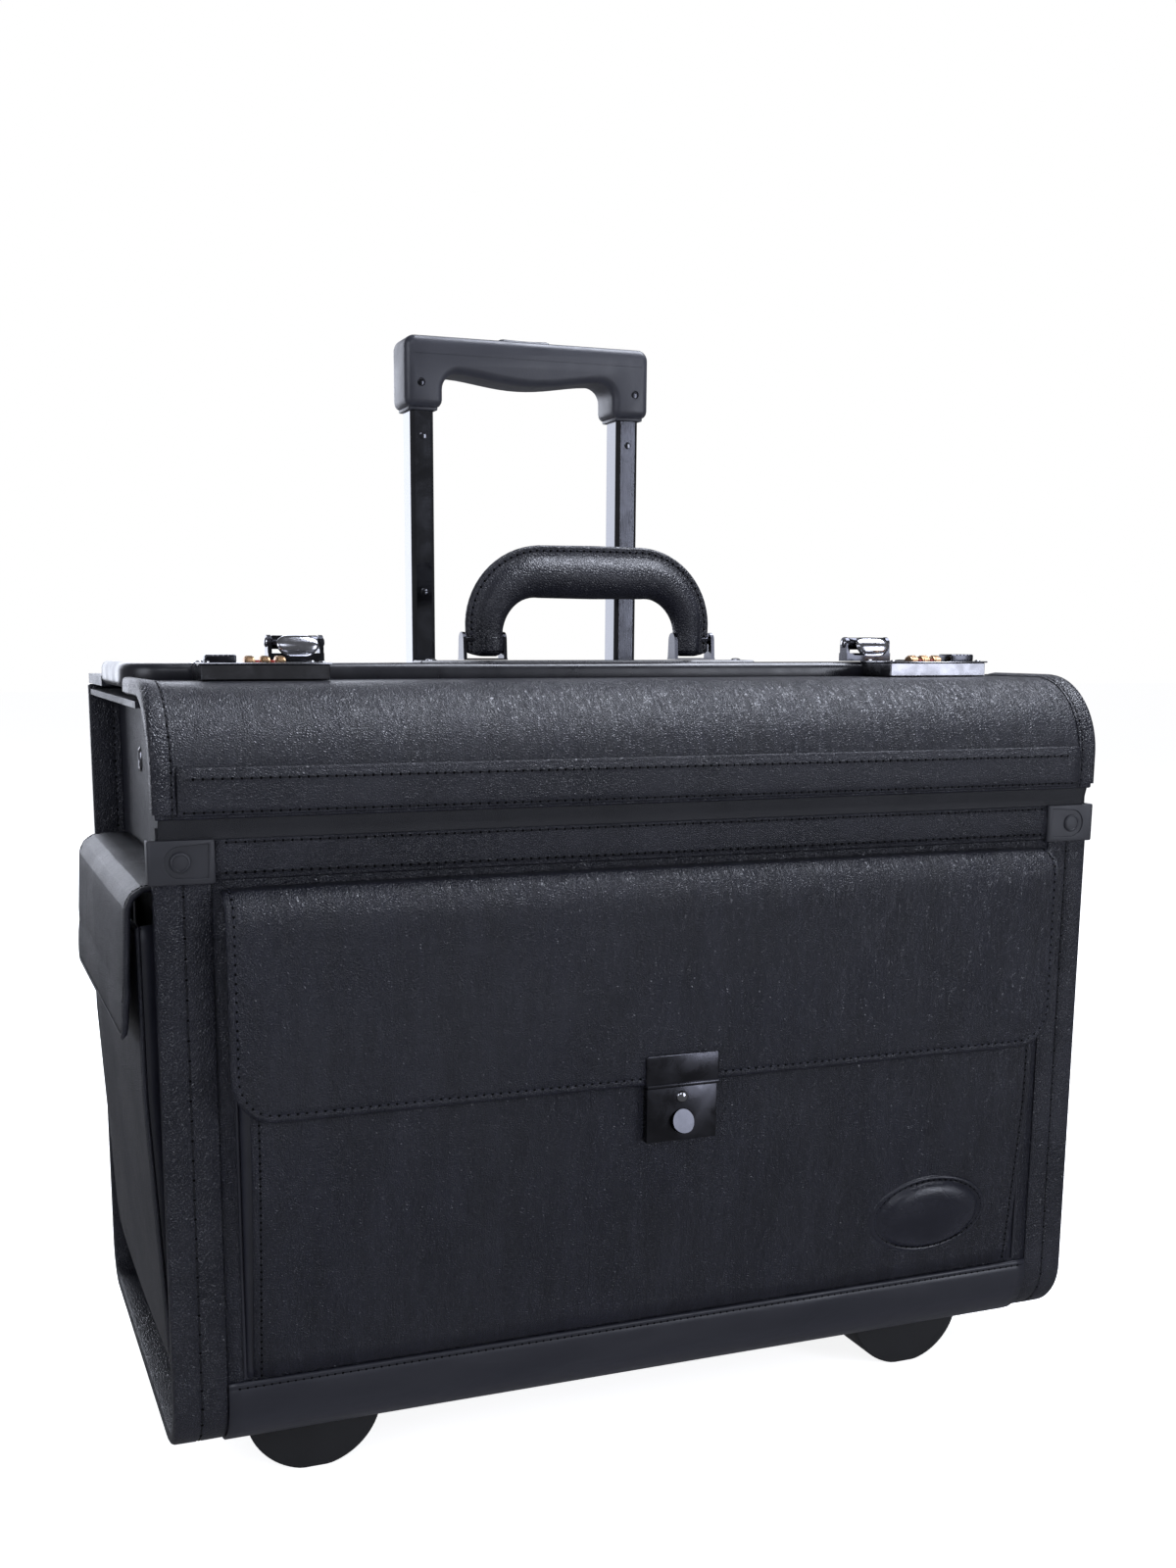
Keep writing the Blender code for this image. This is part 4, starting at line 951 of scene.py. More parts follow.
# ---------------------------------------------------------------- the case's own lines
@dataclass(frozen=True)
class CaseLines:
    """The section lines that the case's boards follow."""

    front_radius: float = 0.028
    back_radius: float = 0.020
    front_top: float = 0.2745
    back_top: float = 0.3349
    lid_front: float = -0.004
    lid_bottom: float = 0.2855
    lid_top: float = 0.3405
    shoulder: float = 0.038
    lid_split: float = 0.0785
    bend_steps: int = 16

    def shell(self) -> SectionLine:
        """Down the front, along the bottom and up the back."""
        front = arc((at_y(self.front_radius), at_z(self.front_radius)), self.front_radius, 180, 270,
                    self.bend_steps)
        back = arc((BACK_Y - self.back_radius, at_z(self.back_radius)), self.back_radius, 270, 360, 12)
        top, last = (FRONT_Y, at_z(self.front_top)), (BACK_Y, at_z(self.back_top))
        return SectionLine([top] + front + back + [last], -1.0)

    def bottom_start(self, line: SectionLine) -> float:
        """The distance along the shell's line where its flat bottom starts."""
        return line.lengths[self.bend_steps + 1]

    def lid(self) -> SectionLine:
        """Up the front lid's face, round its shoulder and back to its rear edge."""
        centre = (at_y(self.lid_front + self.shoulder), at_z(self.lid_top - self.shoulder))
        bend = arc(centre, self.shoulder, 180, 90, 22)
        return SectionLine([(at_y(self.lid_front), at_z(self.lid_bottom))] + bend
                           + [(at_y(self.lid_split), at_z(self.lid_top))], 1.0)


@dataclass
class CaseBody:
    """The wrapped board: front, bottom and back, its bindings, bands and end panels."""

    finishes: Wardrobe
    lines: CaseLines = CaseLines()
    skin: float = 0.0005
    binding_width: float = 0.0230
    binding_rise: float = 0.0013
    binding_stitch: float = 0.0115
    eyelet_squash: float = 0.62
    flange_board: float = 0.0040
    end_recess: float = 0.0150
    band: Point = (0.2595, 0.2768)
    band_reach: float = 0.2105
    strip_top: float = 0.0345

    def wheel_cut(self, bm: Mesh) -> Mesh:
        """Open a skin where the wheel housings stand in the back corners."""
        for side in Side:
            low, high = node_box("wheel_housing_" + side.tag)
            margin = 0.0004
            planes = ((Vector((low.x - margin, 0, 0)), Vector((1, 0, 0))),
                      (Vector((high.x + margin, 0, 0)), Vector((1, 0, 0))),
                      (Vector((0, low.y - margin, 0)), Vector((0, 1, 0))),
                      (Vector((0, 0, high.z + margin)), Vector((0, 0, 1))))
            for point, normal in planes:
                bmesh.ops.bisect_plane(bm, geom=bm.verts[:] + bm.edges[:] + bm.faces[:], dist=SAME_PLACE,
                                       plane_co=point, plane_no=normal)
            inside = [face for face in bm.faces
                      if low.x - margin < face.calc_center_median().x < high.x + margin
                      and face.calc_center_median().y > low.y - margin
                      and face.calc_center_median().z < high.z + margin]
            bmesh.ops.delete(bm, geom=inside, context="FACES")
        return bm

    def build(self) -> None:
        """Make every piece of the body."""
        self.skins()
        self.bindings()
        self.bottom_strip()
        self.bands()
        self.ends()
        self.inside()

    def skins(self) -> None:
        """Cover the front, bottom and back with leatherette."""
        line = self.lines.shell()
        course = Course(line)
        reach = HALF_WIDTH - self.binding_width + 0.001
        wrap = Panel(course, (-reach, reach), (0.0, line.length), Seam(rim=0.0, furrow=0.0), (), step=0.010,
                     rise=self.skin)
        laid("case_skin", self.wheel_cut(wrap.build()), self.finishes.front, "case", self.skin)
        dress(self.finishes.front, "body_shell", "top_back_strip")

    def binding_profile(self, side: Side) -> list[Point]:
        """The closed (across, rise) outline of the leather folded round a flange's edge."""
        inner = HALF_WIDTH - self.binding_width
        high = self.binding_rise
        depth = self.flange_board
        stitch = HALF_WIDTH - self.binding_stitch
        outer = HALF_WIDTH + 0.0008
        outline = [(inner, 0.0), (inner + 0.0002, high * 0.8), (inner + 0.0008, high),
                   (stitch - 0.0014, high + 0.0001), (stitch - 0.0005, high - 0.0003), (stitch, high - 0.0005),
                   (stitch + 0.0005, high - 0.0003), (stitch + 0.0014, high + 0.0001),
                   (outer - 0.0016, high), (outer - 0.0006, high * 0.55), (outer, -0.0004),
                   (outer, -depth + 0.0004), (outer - 0.0005, -depth - high * 0.35),
                   (outer - 0.0015, -depth - high * 0.6), (stitch + 0.0010, -depth - high * 0.6),
                   (stitch, -depth - high * 0.3), (stitch - 0.0010, -depth - high * 0.6),
                   (HALF_WIDTH - self.end_recess + 0.0003, -depth - high * 0.6),
                   (HALF_WIDTH - self.end_recess + 0.0003, -depth + 0.001), (inner + 0.004, -depth + 0.001),
                   (inner + 0.004, -0.001)]
        return [(side.value * across, rise) for across, rise in outline]

    def bindings(self) -> None:
        """Fold the leather bindings round both ends of the wrap, with their stitches."""
        line = self.lines.shell()
        course = Course(line)
        for side in Side:
            binding = strip(course, self.binding_profile(side), (0.0002, line.length - 0.0005), 0.006)
            low, high = node_box("wheel_housing_" + side.tag)
            grow = Vector((0.0004, 0.0004, 0.0004))
            notch = block(low - grow, Vector((high.x, high.y + 0.01, high.z)) + grow)
            finished("case_binding_" + side.tag, carved(binding, notch), self.finishes.pebble, "case", 35.0)
            sewing = self.finishes.sewing("case_binding_" + side.tag, "case", 0.0008, 0.00030)
            stitch = side.value * (HALF_WIDTH - self.binding_stitch)
            clear = 0.017
            notch_start = line.length - (self.lines.back_top - high.z + CASE_BOTTOM) + 0.004
            bottom_end = self.lines.bottom_start(line) + (low.y - at_y(self.lines.front_radius)) - 0.004
            for span in ((clear, bottom_end), (notch_start, line.length - 0.006)):
                sewing.row(straight_path(course, stitch, span, self.binding_rise - 0.0004), 0.0088, 0.86)
                inner = straight_path(course, stitch, span, -self.flange_board - self.binding_rise * 0.5)
                sewing.row([(place, -facing) for place, facing in inner], 0.0088, 0.45)
            sewing.finish()

    def bottom_strip(self) -> None:
        """Wrap the smooth vinyl strip round the front's lower edge."""
        line = self.lines.shell()
        course = Course(line)
        start = line.distance_at_height(at_z(self.strip_top))
        end = self.lines.bottom_start(line) + 0.012
        reach = HALF_WIDTH - self.binding_width - 0.0004
        swell = Panel(course, (-reach, reach), (start, end), Seam(0.0028, 0.0004, 0.0012, 0.0004, 0.008),
                      (Edge.START,), rise=0.0024, step=0.006)
        laid("bottom_strip", swell.build(), self.finishes.vinyl, "case", 0.0020)
        sewing = self.finishes.sewing("bottom_strip", "case", 0.0007, 0.00022)
        sewing.row(swell.seam_path(0.0028, (Edge.START,)), 0.0036)
        sewing.finish()

    def bands(self) -> None:
        """The stitched band under the lid's hinge, and the hinge strip itself."""
        line = self.lines.shell()
        course = Course(line)
        start = -(self.band[1] - self.lines.front_top)
        end = line.distance_at_height(at_z(self.band[0]))
        belt = Panel(course, (-self.band_reach, self.band_reach), (start, end),
                     Seam(0.0016, 0.0004, 0.0008, 0.0005, 0.004), (Edge.START, Edge.END),
                     rise=0.0016, step=0.006)
        laid("lower_band", belt.build(), self.finishes.band, "case", 0.0014)
        sewing = self.finishes.sewing("lower_band", "case")
        sewing.row(belt.seam_path(0.0016, (Edge.START,)), 0.0040)
        sewing.row(belt.seam_path(0.0030, (Edge.END,)), 0.0040)
        sewing.finish()
        upright = SectionLine([(at_y(-0.0004), at_z(0.2700)), (at_y(-0.0006), at_z(0.2790)),
                               (at_y(-0.0026), at_z(0.2860)), (at_y(-0.0036), at_z(0.2920))], 1.0)
        half = HALF_WIDTH - 0.002
        leaf = Panel(Course(upright), (-half, half), (0.0, upright.length), Seam(rim=0.0, furrow=0.0), (),
                     step=0.0022)
        hinge = laid("hinge_leather", leaf.build(), self.finishes.hinge, "case", 0.0010)
        hinge.parent = None
        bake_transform(hinge)
        dress(self.finishes.hinge, "front_hinge_strip")

    def ends(self) -> None:
        """Dress the end panels, and put in their eyelets, each with a near-black disc in its opening as painted
        shade.
        """
        dress(self.finishes.end, "end_panel_left", "end_panel_right")
        profiles = (("end_eyelet_", self.finishes.gunmetal,
                     [(-0.0005, 0.0036), (0.0004, 0.0034), (0.0009, 0.0040), (0.0010, 0.0052), (0.0004, 0.0062),
                      (-0.0005, 0.0064)]),
                    # A near-black disc filling the eyelet's opening: painted shade of the hole.
                    ("end_eyelet_shade_disc_", self.finishes.needle_hole,
                     [(0.0001, 0.0), (0.0002, 0.0024), (-0.0001, 0.0040), (-0.0008, 0.0040), (-0.0008, 0.0)]))
        for side in Side:
            centre = Vector((side.value * (HALF_WIDTH - self.end_recess), at_y(0.150), at_z(0.300)))
            squash = (Matrix.Translation(centre) @ Matrix.Diagonal((1.0, self.eyelet_squash, 1.0, 1.0))
                      @ Matrix.Translation(-centre))
            for name, finish, profile in profiles:
                ring = turned(centre, Vector((side.value, 0, 0)), profile)
                bmesh.ops.transform(ring, verts=ring.verts, matrix=squash)
                finished(name + side.tag, ring, finish, "case")

    def inside(self) -> None:
        """Line the compartments."""
        dress(self.finishes.lining, "trolley_cover_panel", "file_divider")
        line = self.lines.shell().shifted(-self.flange_board - 0.0002)
        lining_line = SectionLine(line.points, 1.0)
        half = HALF_WIDTH - self.end_recess - 0.0045
        front_span = (0.004, self.lines.bottom_start(line) + 0.140)
        sheet = Panel(Course(lining_line), (-half, half), front_span, Seam(0.003, 0.0002, 0.0004),
                      (Edge.START,), rise=0.0006, step=0.012)
        laid("case_lining", sheet.build(), self.finishes.lining, "case", 0.0005)


@dataclass
class CornerBracket:
    """A moulded corner with an embossed drop round its rivet."""

    finishes: Wardrobe
    side: Side
    skin: float = 0.0030
    drop_depth: float = 0.0006
    drop_radius: float = 0.0068

    def build(self) -> None:
        """Make the bracket and its rivet."""
        low, high = node_box("corner_bracket_" + self.side.tag)
        sign = self.side.value
        outer = max(abs(low.x), abs(high.x)) + 0.0004
        inner = min(abs(low.x), abs(high.x))
        front = FRONT_Y - self.skin
        outline = [(inner, front + 0.0004), (inner + 0.001, front), (outer - 0.0012, front),
                   (outer, front + 0.0012), (outer, high.y), (outer - 0.0018, high.y),
                   (outer - 0.0018, FRONT_Y - 0.0002), (inner, FRONT_Y - 0.0002)]
        outline = [(sign * x, y) for x, y in outline]
        plate = bevelled(prism(outline, "Z", low.z - 0.0006, high.z + 0.0006), 0.0007, 2)
        rivet = Vector((sign * (HALF_WIDTH - 0.0125 + 0.002), front, (low.z + high.z) / 2))
        drop = arc((rivet.x, rivet.z), self.drop_radius, 90, 90 - sign * 180, 14)
        drop += [(rivet.x - sign * 0.0115, rivet.z - self.drop_radius),
                 (rivet.x - sign * 0.0120, rivet.z + 0.0076)]
        recess = prism(drop, "Y", front - 0.001, front + self.drop_depth)
        piece = finished("corner_cap_" + self.side.tag, carved(plate, recess), self.finishes.plastic, "case",
                         30.0)
        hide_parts("corner_bracket_" + self.side.tag)
        soften(piece, 0.00022, 2, 50.0)
        head = turned(rivet, Vector((0, -1, 0)),
                      [(-0.0010, 0.0), (-0.0010, 0.0043), (0.0001, 0.0043), (0.0005, 0.0040), (0.0006, 0.0034),
                       (0.0002, 0.0031), (0.0003, 0.0020), (0.0004, 0.0)])
        finished("corner_rivet_" + self.side.tag, head, self.finishes.plastic, "case", 50.0)


@dataclass
class FrontLid:
    """The curved front lid: its board, end bindings, stitched band and lining."""

    finishes: Wardrobe
    lines: CaseLines = CaseLines()
    board: float = 0.0050
    binding: float = 0.0095
    stitch_in: float = 0.0078
    binding_rise: float = 0.0016
    clearance: float = 0.0024
    band: Point = (0.2868, 0.3068)

    def build(self) -> None:
        """Make every piece of the lid."""
        line = self.lines.lid()
        course = Course(line)
        half = HALF_WIDTH - 0.0006
        profile = [(-half, 0.0), (half, 0.0), (half, -self.board), (-half, -self.board)]
        board = finished("front_lid_board", strip(course, profile, (0.0, line.length), 0.006),
                         self.finishes.front, "front_lid", 35.0)
        soften(board, 0.0008)
        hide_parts("front_lid_panel")
        self.bind_ends(line, course)
        self.add_band(line, course)
        inner = SectionLine(line.shifted(-self.board - 0.0001).points, -1.0)
        cloth = Panel(Course(inner), (-half + 0.012, half - 0.012), (0.003, inner.length - 0.003),
                      Seam(0.0025, 0.0002, 0.0004), rise=0.0006, step=0.010)
        laid("front_lid_lining", cloth.build(), self.finishes.lining, "front_lid", 0.0005)

    def bind_ends(self, line: SectionLine, course: Course) -> None:
        """Fold leather round the lid's two ends, with a row of stitches."""
        sewing = self.finishes.sewing("front_lid_binding", "front_lid", 0.0008)
        for side in Side:
            high = self.binding_rise
            inner = HALF_WIDTH - self.binding
            stitch = HALF_WIDTH - self.stitch_in
            outer = HALF_WIDTH + 0.0006
            outline = [(inner, -0.0005), (inner + 0.0001, high * 0.3), (inner + 0.0006, high * 0.45),
                       (stitch - 0.0006, high * 0.42), (stitch, high * 0.20), (stitch + 0.0006, high * 0.42),
                       (stitch + 0.0016, high * 0.65), (outer - 0.0030, high), (outer - 0.0012, high * 0.85),
                       (outer - 0.0003, high * 0.3), (outer, -0.0008), (outer, -self.board),
                       (outer - 0.0008, -self.board - 0.0008), (outer - 0.0100, -self.board - 0.0008),
                       (outer - 0.0100, -self.board + 0.0005), (inner, -self.board + 0.0005)]
            profile = [(side.value * across, rise) for across, rise in outline]
            binding = strip(course, profile, (self.clearance, line.length), 0.004)
            finished("front_lid_binding_" + side.tag, binding, self.finishes.pebble, "front_lid")
            path = straight_path(course, side.value * stitch, (0.002, line.length - 0.004), high * 0.22)
            sewing.row(path, 0.0050, 0.8)
        sewing.finish()

    def add_band(self, line: SectionLine, course: Course) -> None:
        """The stitched band along the lid's lower front."""
        reach = HALF_WIDTH - self.binding - 0.0004
        low = line.distance_at_height(at_z(self.band[0]))
        high = line.distance_at_height(at_z(self.band[1]))
        belt = Panel(course, (-reach, reach), (low, high), Seam(0.0016, 0.0004, 0.0009, 0.0004, 0.005),
                     (Edge.START, Edge.END), rise=0.0014, step=0.006)
        laid("upper_band", belt.build(), self.finishes.band, "front_lid", 0.0012)
        sewing = self.finishes.sewing("upper_band", "front_lid")
        sewing.row(belt.seam_path(0.0016, (Edge.START,)), 0.0040)
        sewing.row(belt.seam_path(0.0046, (Edge.END,)), 0.0040)
        sewing.finish()


@dataclass
class LockSet:
    """A combination lock on the front lid, with its slide, number wheels and hasp."""

    finishes: Wardrobe
    side: Side

    def dial_boxes(self) -> tuple[tuple[Vector, Vector], tuple[Vector, Vector]]:
        """The first and last number wheels' boxes."""
        return node_box("lock_dial_%s_1" % self.side.tag), node_box("lock_dial_%s_3" % self.side.tag)

    def build(self) -> None:
        """Make the lock's fine pieces and dress its nodes."""
        tag = self.side.tag
        low, high = node_box("lock_body_" + tag)
        dress(self.finishes.gunmetal, "lock_body_" + tag)
        dress(self.finishes.black_nickel, "hasp_base_" + tag)
        self.face_plate(low, high)
        self.number_wheels(high)
        self.slide_knob()
        self.hasp_arm()

    def face_plate(self, low: Vector, high: Vector) -> None:
        """The bright rim round the lock's top, its rivets and the dial window's frame."""
        tag = self.side.tag
        plate = bevelled(block((low.x - 0.0008, low.y - 0.0008, high.z - 0.0002),
                               (high.x + 0.0008, high.y + 0.0004, high.z + 0.0006)), 0.0003, 2)
        first, last = self.dial_boxes()
        window_x = sorted((first[0].x, first[1].x, last[0].x, last[1].x))
        window = block((window_x[0] - 0.0006, first[0].y - 0.0006, high.z - 0.003),
                       (window_x[-1] + 0.0006, first[1].y + 0.0006, high.z + 0.003))
        knob_low, knob_high = node_box("lock_slide_" + tag)
        slot = block((knob_low.x - 0.0052, knob_low.y + 0.0030, high.z - 0.003),
                     (knob_high.x + 0.0052, knob_high.y - 0.0030, high.z + 0.003))
        finished("lock_face_" + tag, carved(plate, window, slot), self.finishes.nickel, "front_lid", 35.0)
        rivets = []
        for across in (low.x + 0.0030, high.x - 0.0030):
            for along in (low.y + 0.0030, high.y - 0.0030):
                centre = Vector((across, along, high.z + 0.0006))
                rivets.append(turned(centre, Vector((0, 0, 1)),
                                     [(-0.0006, 0.0), (-0.0006, 0.0016), (0.0002, 0.0015), (0.0006, 0.0010),
                                      (0.0007, 0.0)], 16))
        finished("lock_rivets_" + tag, merged(*rivets), self.finishes.nickel, "front_lid", 50.0)

    def number_wheels(self, high: Vector) -> None:
        """Knurled brass wheels with red spacers between them."""
        tag = self.side.tag
        for number in (1, 2, 3):
            node = "lock_dial_%s_%d" % (tag, number)
            low, top = node_box(node)
            centre = (low + top) / 2
            radius = (top.z - low.z) / 2
            half = (top.x - low.x) / 2
            flank = [(half, 0.0), (half, radius * 0.80), (half - 0.0003, radius * 0.92),
                     (half - 0.0009, radius * 0.93), (half - 0.0010, radius)]
            profile = [(-along, out) for along, out in flank] + flank[::-1]
            wheel = turned(centre, Vector((1, 0, 0)), profile, 40)
            for vert in wheel.verts:
                reach = Vector((0, vert.co.y - centre.y, vert.co.z - centre.z))
                if reach.length > radius * 0.97:
                    angle = math.atan2(reach.y, reach.z)
                    deep = 0.00035 if round(angle / (2 * math.pi) * 40) % 4 == 0 else 0.0
                    vert.co -= reach.normalized() * deep
            piece = finished("number_wheel_%s_%d" % (tag, number), wheel, self.finishes.brass,
                             "dial_%s_%d" % (tag, number), 30.0)
            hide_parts(node)
        first, last = self.dial_boxes()
        pitch = (last[0].x - first[0].x) / 2
        centre_x = (first[0].x + first[1].x) / 2
        spacers = []
        for index in (0.5, 1.5):
            middle = Vector((centre_x + pitch * index, (first[0].y + first[1].y) / 2, high.z + 0.0006))
            spacers.append(bevelled(block(middle - Vector((0.0009, 0.0030, 0.0014)),
                                          middle + Vector((0.0009, 0.0030, 0.0010))), 0.0003, 2))
        finished("lock_spacers_" + tag, merged(*spacers), self.finishes.red, "front_lid", 40.0)

    def slide_knob(self) -> None:
        """The ribbed knob of the sprung release slide."""
        tag = self.side.tag
        low, high = node_box("lock_slide_" + tag)
        knob_low = Vector((low.x, low.y, high.z - 0.0032))
        knob = bevelled(block(knob_low, high + Vector((0, 0, 0.0006))), 0.0008, 3)
        ribs = []
        for index in range(4):
            across = low.x + (high.x - low.x) * (0.26 + 0.16 * index)
            ribs.append(block((across - 0.0004, low.y - 0.001, high.z + 0.0001),
                              (across + 0.0004, high.y + 0.001, high.z + 0.002)))
        piece = finished("slide_knob_" + tag, carved(knob, *ribs), self.finishes.black_nickel,
                         "lock_slide_" + tag, 30.0)
        stem = bevelled(block(Vector((low.x + 0.0042, low.y + 0.0046, low.z + 0.0006)),
                              Vector((high.x - 0.0042, high.y - 0.0046, high.z - 0.003))), 0.0002, 1)
        finished("slide_stem_" + tag, stem, self.finishes.gunmetal, "lock_slide_" + tag, 30.0)
        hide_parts("lock_slide_" + tag)

    def hasp_arm(self) -> None:
        """The hasp's barrel and its curved arm, and its pin's domed ends."""
        tag = self.side.tag
        low, high = node_box("hasp_" + tag)
        base_low, base_high = node_box("hasp_base_" + tag)
        centre_x = (low.x + high.x) / 2
        half = (high.x - low.x) / 2
        axis = Vector((centre_x, high.y - 0.0032, high.z - 0.0032))
        barrel = turned(axis, Vector((1, 0, 0)),
                        [(-half, 0.0018), (-half, 0.0028), (-half + 0.0005, 0.0032), (-0.0042, 0.0032),
                         (-0.0038, 0.0028), (0.0038, 0.0028), (0.0042, 0.0032), (half - 0.0005, 0.0032),
                         (half, 0.0028), (half, 0.0018)], 36)
        stops = arc((low.y + 0.0062, low.z + 0.0052), 0.0056, 205, 95, 12)
        outer = stops + [(axis.y, axis.z + 0.0022)]
        rings = []
        for index, (y, z) in enumerate(outer):
            share = index / (len(outer) - 1)
            wide = half * (0.62 + 0.30 * math.sin(math.pi * min(share * 1.15, 1.0)))
            thick = 0.0011 + 0.0005 * math.sin(math.pi * share)
            along = tangent(outer, index)
            rings.append(squared_ring(Vector((centre_x, y, z)), Vector((1, 0, 0)),
                                      Vector((0, -along.y, along.x)), (wide, thick), (0.5, 0.8), 20))
        arm = finished("hasp_arm_" + tag, swept(rings), self.finishes.nickel, "hasp_" + tag, 50.0)
        finished("hasp_barrel_" + tag, barrel, self.finishes.black_nickel, "hasp_" + tag, 40.0)
        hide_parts("hasp_" + tag)
        caps = []
        for end in (base_low.x, base_high.x):
            outward = Vector((math.copysign(1.0, end - centre_x), 0, 0))
            caps.append(turned(Vector((end, axis.y, axis.z)), outward,
                               [(-0.0005, 0.0), (-0.0005, 0.0024), (0.0003, 0.0023), (0.0009, 0.0015),
                                (0.0011, 0.0)], 20))
        finished("hasp_pin_caps_" + tag, merged(*caps), self.finishes.nickel, "back_lid", 50.0)


@dataclass
class BackLid:
    """The back lid: one moulded tube round three sides, its leather top and the handle's plate."""

    finishes: Wardrobe
    corner: float = 0.016
    flat: float = 0.62

    def build(self) -> None:
        """Make the lid's pieces."""
        self.rail()
        low, high = node_box("back_lid_panel")
        line = SectionLine([(low.y, high.z), (high.y, high.z)], 1.0)
        cover = Panel(Course(line), (low.x, high.x), (0.0002, line.length - 0.0002),
                      Seam(0.0040, 0.0003, 0.0006, 0.0004, 0.01), (Edge.END, Edge.LOW, Edge.HIGH),
                      rise=0.0008, step=0.012)
        laid("back_lid_cover", cover.build(), self.finishes.front, "back_lid", 0.0008)
        sewing = self.finishes.sewing("back_lid_cover", "back_lid")
        sewing.row(cover.seam_path(0.0040, (Edge.LOW, Edge.END, Edge.HIGH)), 0.0042)
        sewing.finish()
        dress(self.finishes.lining, "back_lid_panel")
        dress(self.finishes.rail_plastic, "handle_plate")
        dress(self.finishes.black_nickel, "handle_bracket_left", "handle_bracket_right")
        self.plate_screws()

    def rail(self) -> None:
        """Sweep the moulded tube along the front and round both corners to the hinge."""
        low, high = node_box("top_rail")
        frame_low, frame_high = node_box("back_lid_frame_right")
        rail_y = (low.y + high.y) / 2
        side_x = (frame_low.x + frame_high.x) / 2
        middle_z = (low.z + high.z) / 2
        bend = arc((side_x - self.corner, rail_y + self.corner), self.corner, 0, -90, 10)
        right = [(side_x, frame_high.y)] + bend
        path = right + [(-x, y) for x, y in reversed(right)]
        rings = []
        for index, (x, y) in enumerate(path):
            along = tangent(path, index)
            straight = abs(along.x)
            half_width = (frame_high.x - frame_low.x) / 2 * (1 - straight) + (high.y - low.y) / 2 * straight
            rings.append(squared_ring(Vector((x, y, middle_z)), Vector((-along.y, along.x, 0)),
                                      Vector((0, 0, 1)), (half_width, (high.z - low.z) / 2),
                                      (self.flat, self.flat), 24))
        tube = finished("back_lid_tube", swept(rings), self.finishes.rail_plastic, "back_lid", 60.0)
        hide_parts("top_rail", "back_lid_frame_left", "back_lid_frame_right")

    def plate_screws(self) -> None:
        """Domed screws along the handle's plate."""
        low, high = node_box("handle_plate")
        heads = []
        for across in (low.x + 0.008, high.x - 0.008):
            centre = Vector((across, (low.y + high.y) / 2, high.z))
            heads.append(turned(centre, Vector((0, 0, 1)), [(-0.0003, 0.0), (-0.0003, 0.0028), (0.0004, 0.0026),
                                                            (0.0009, 0.0014), (0.0010, 0.0)], 20))
        finished("handle_plate_screws", merged(*heads), self.finishes.nickel, "back_lid", 50.0)


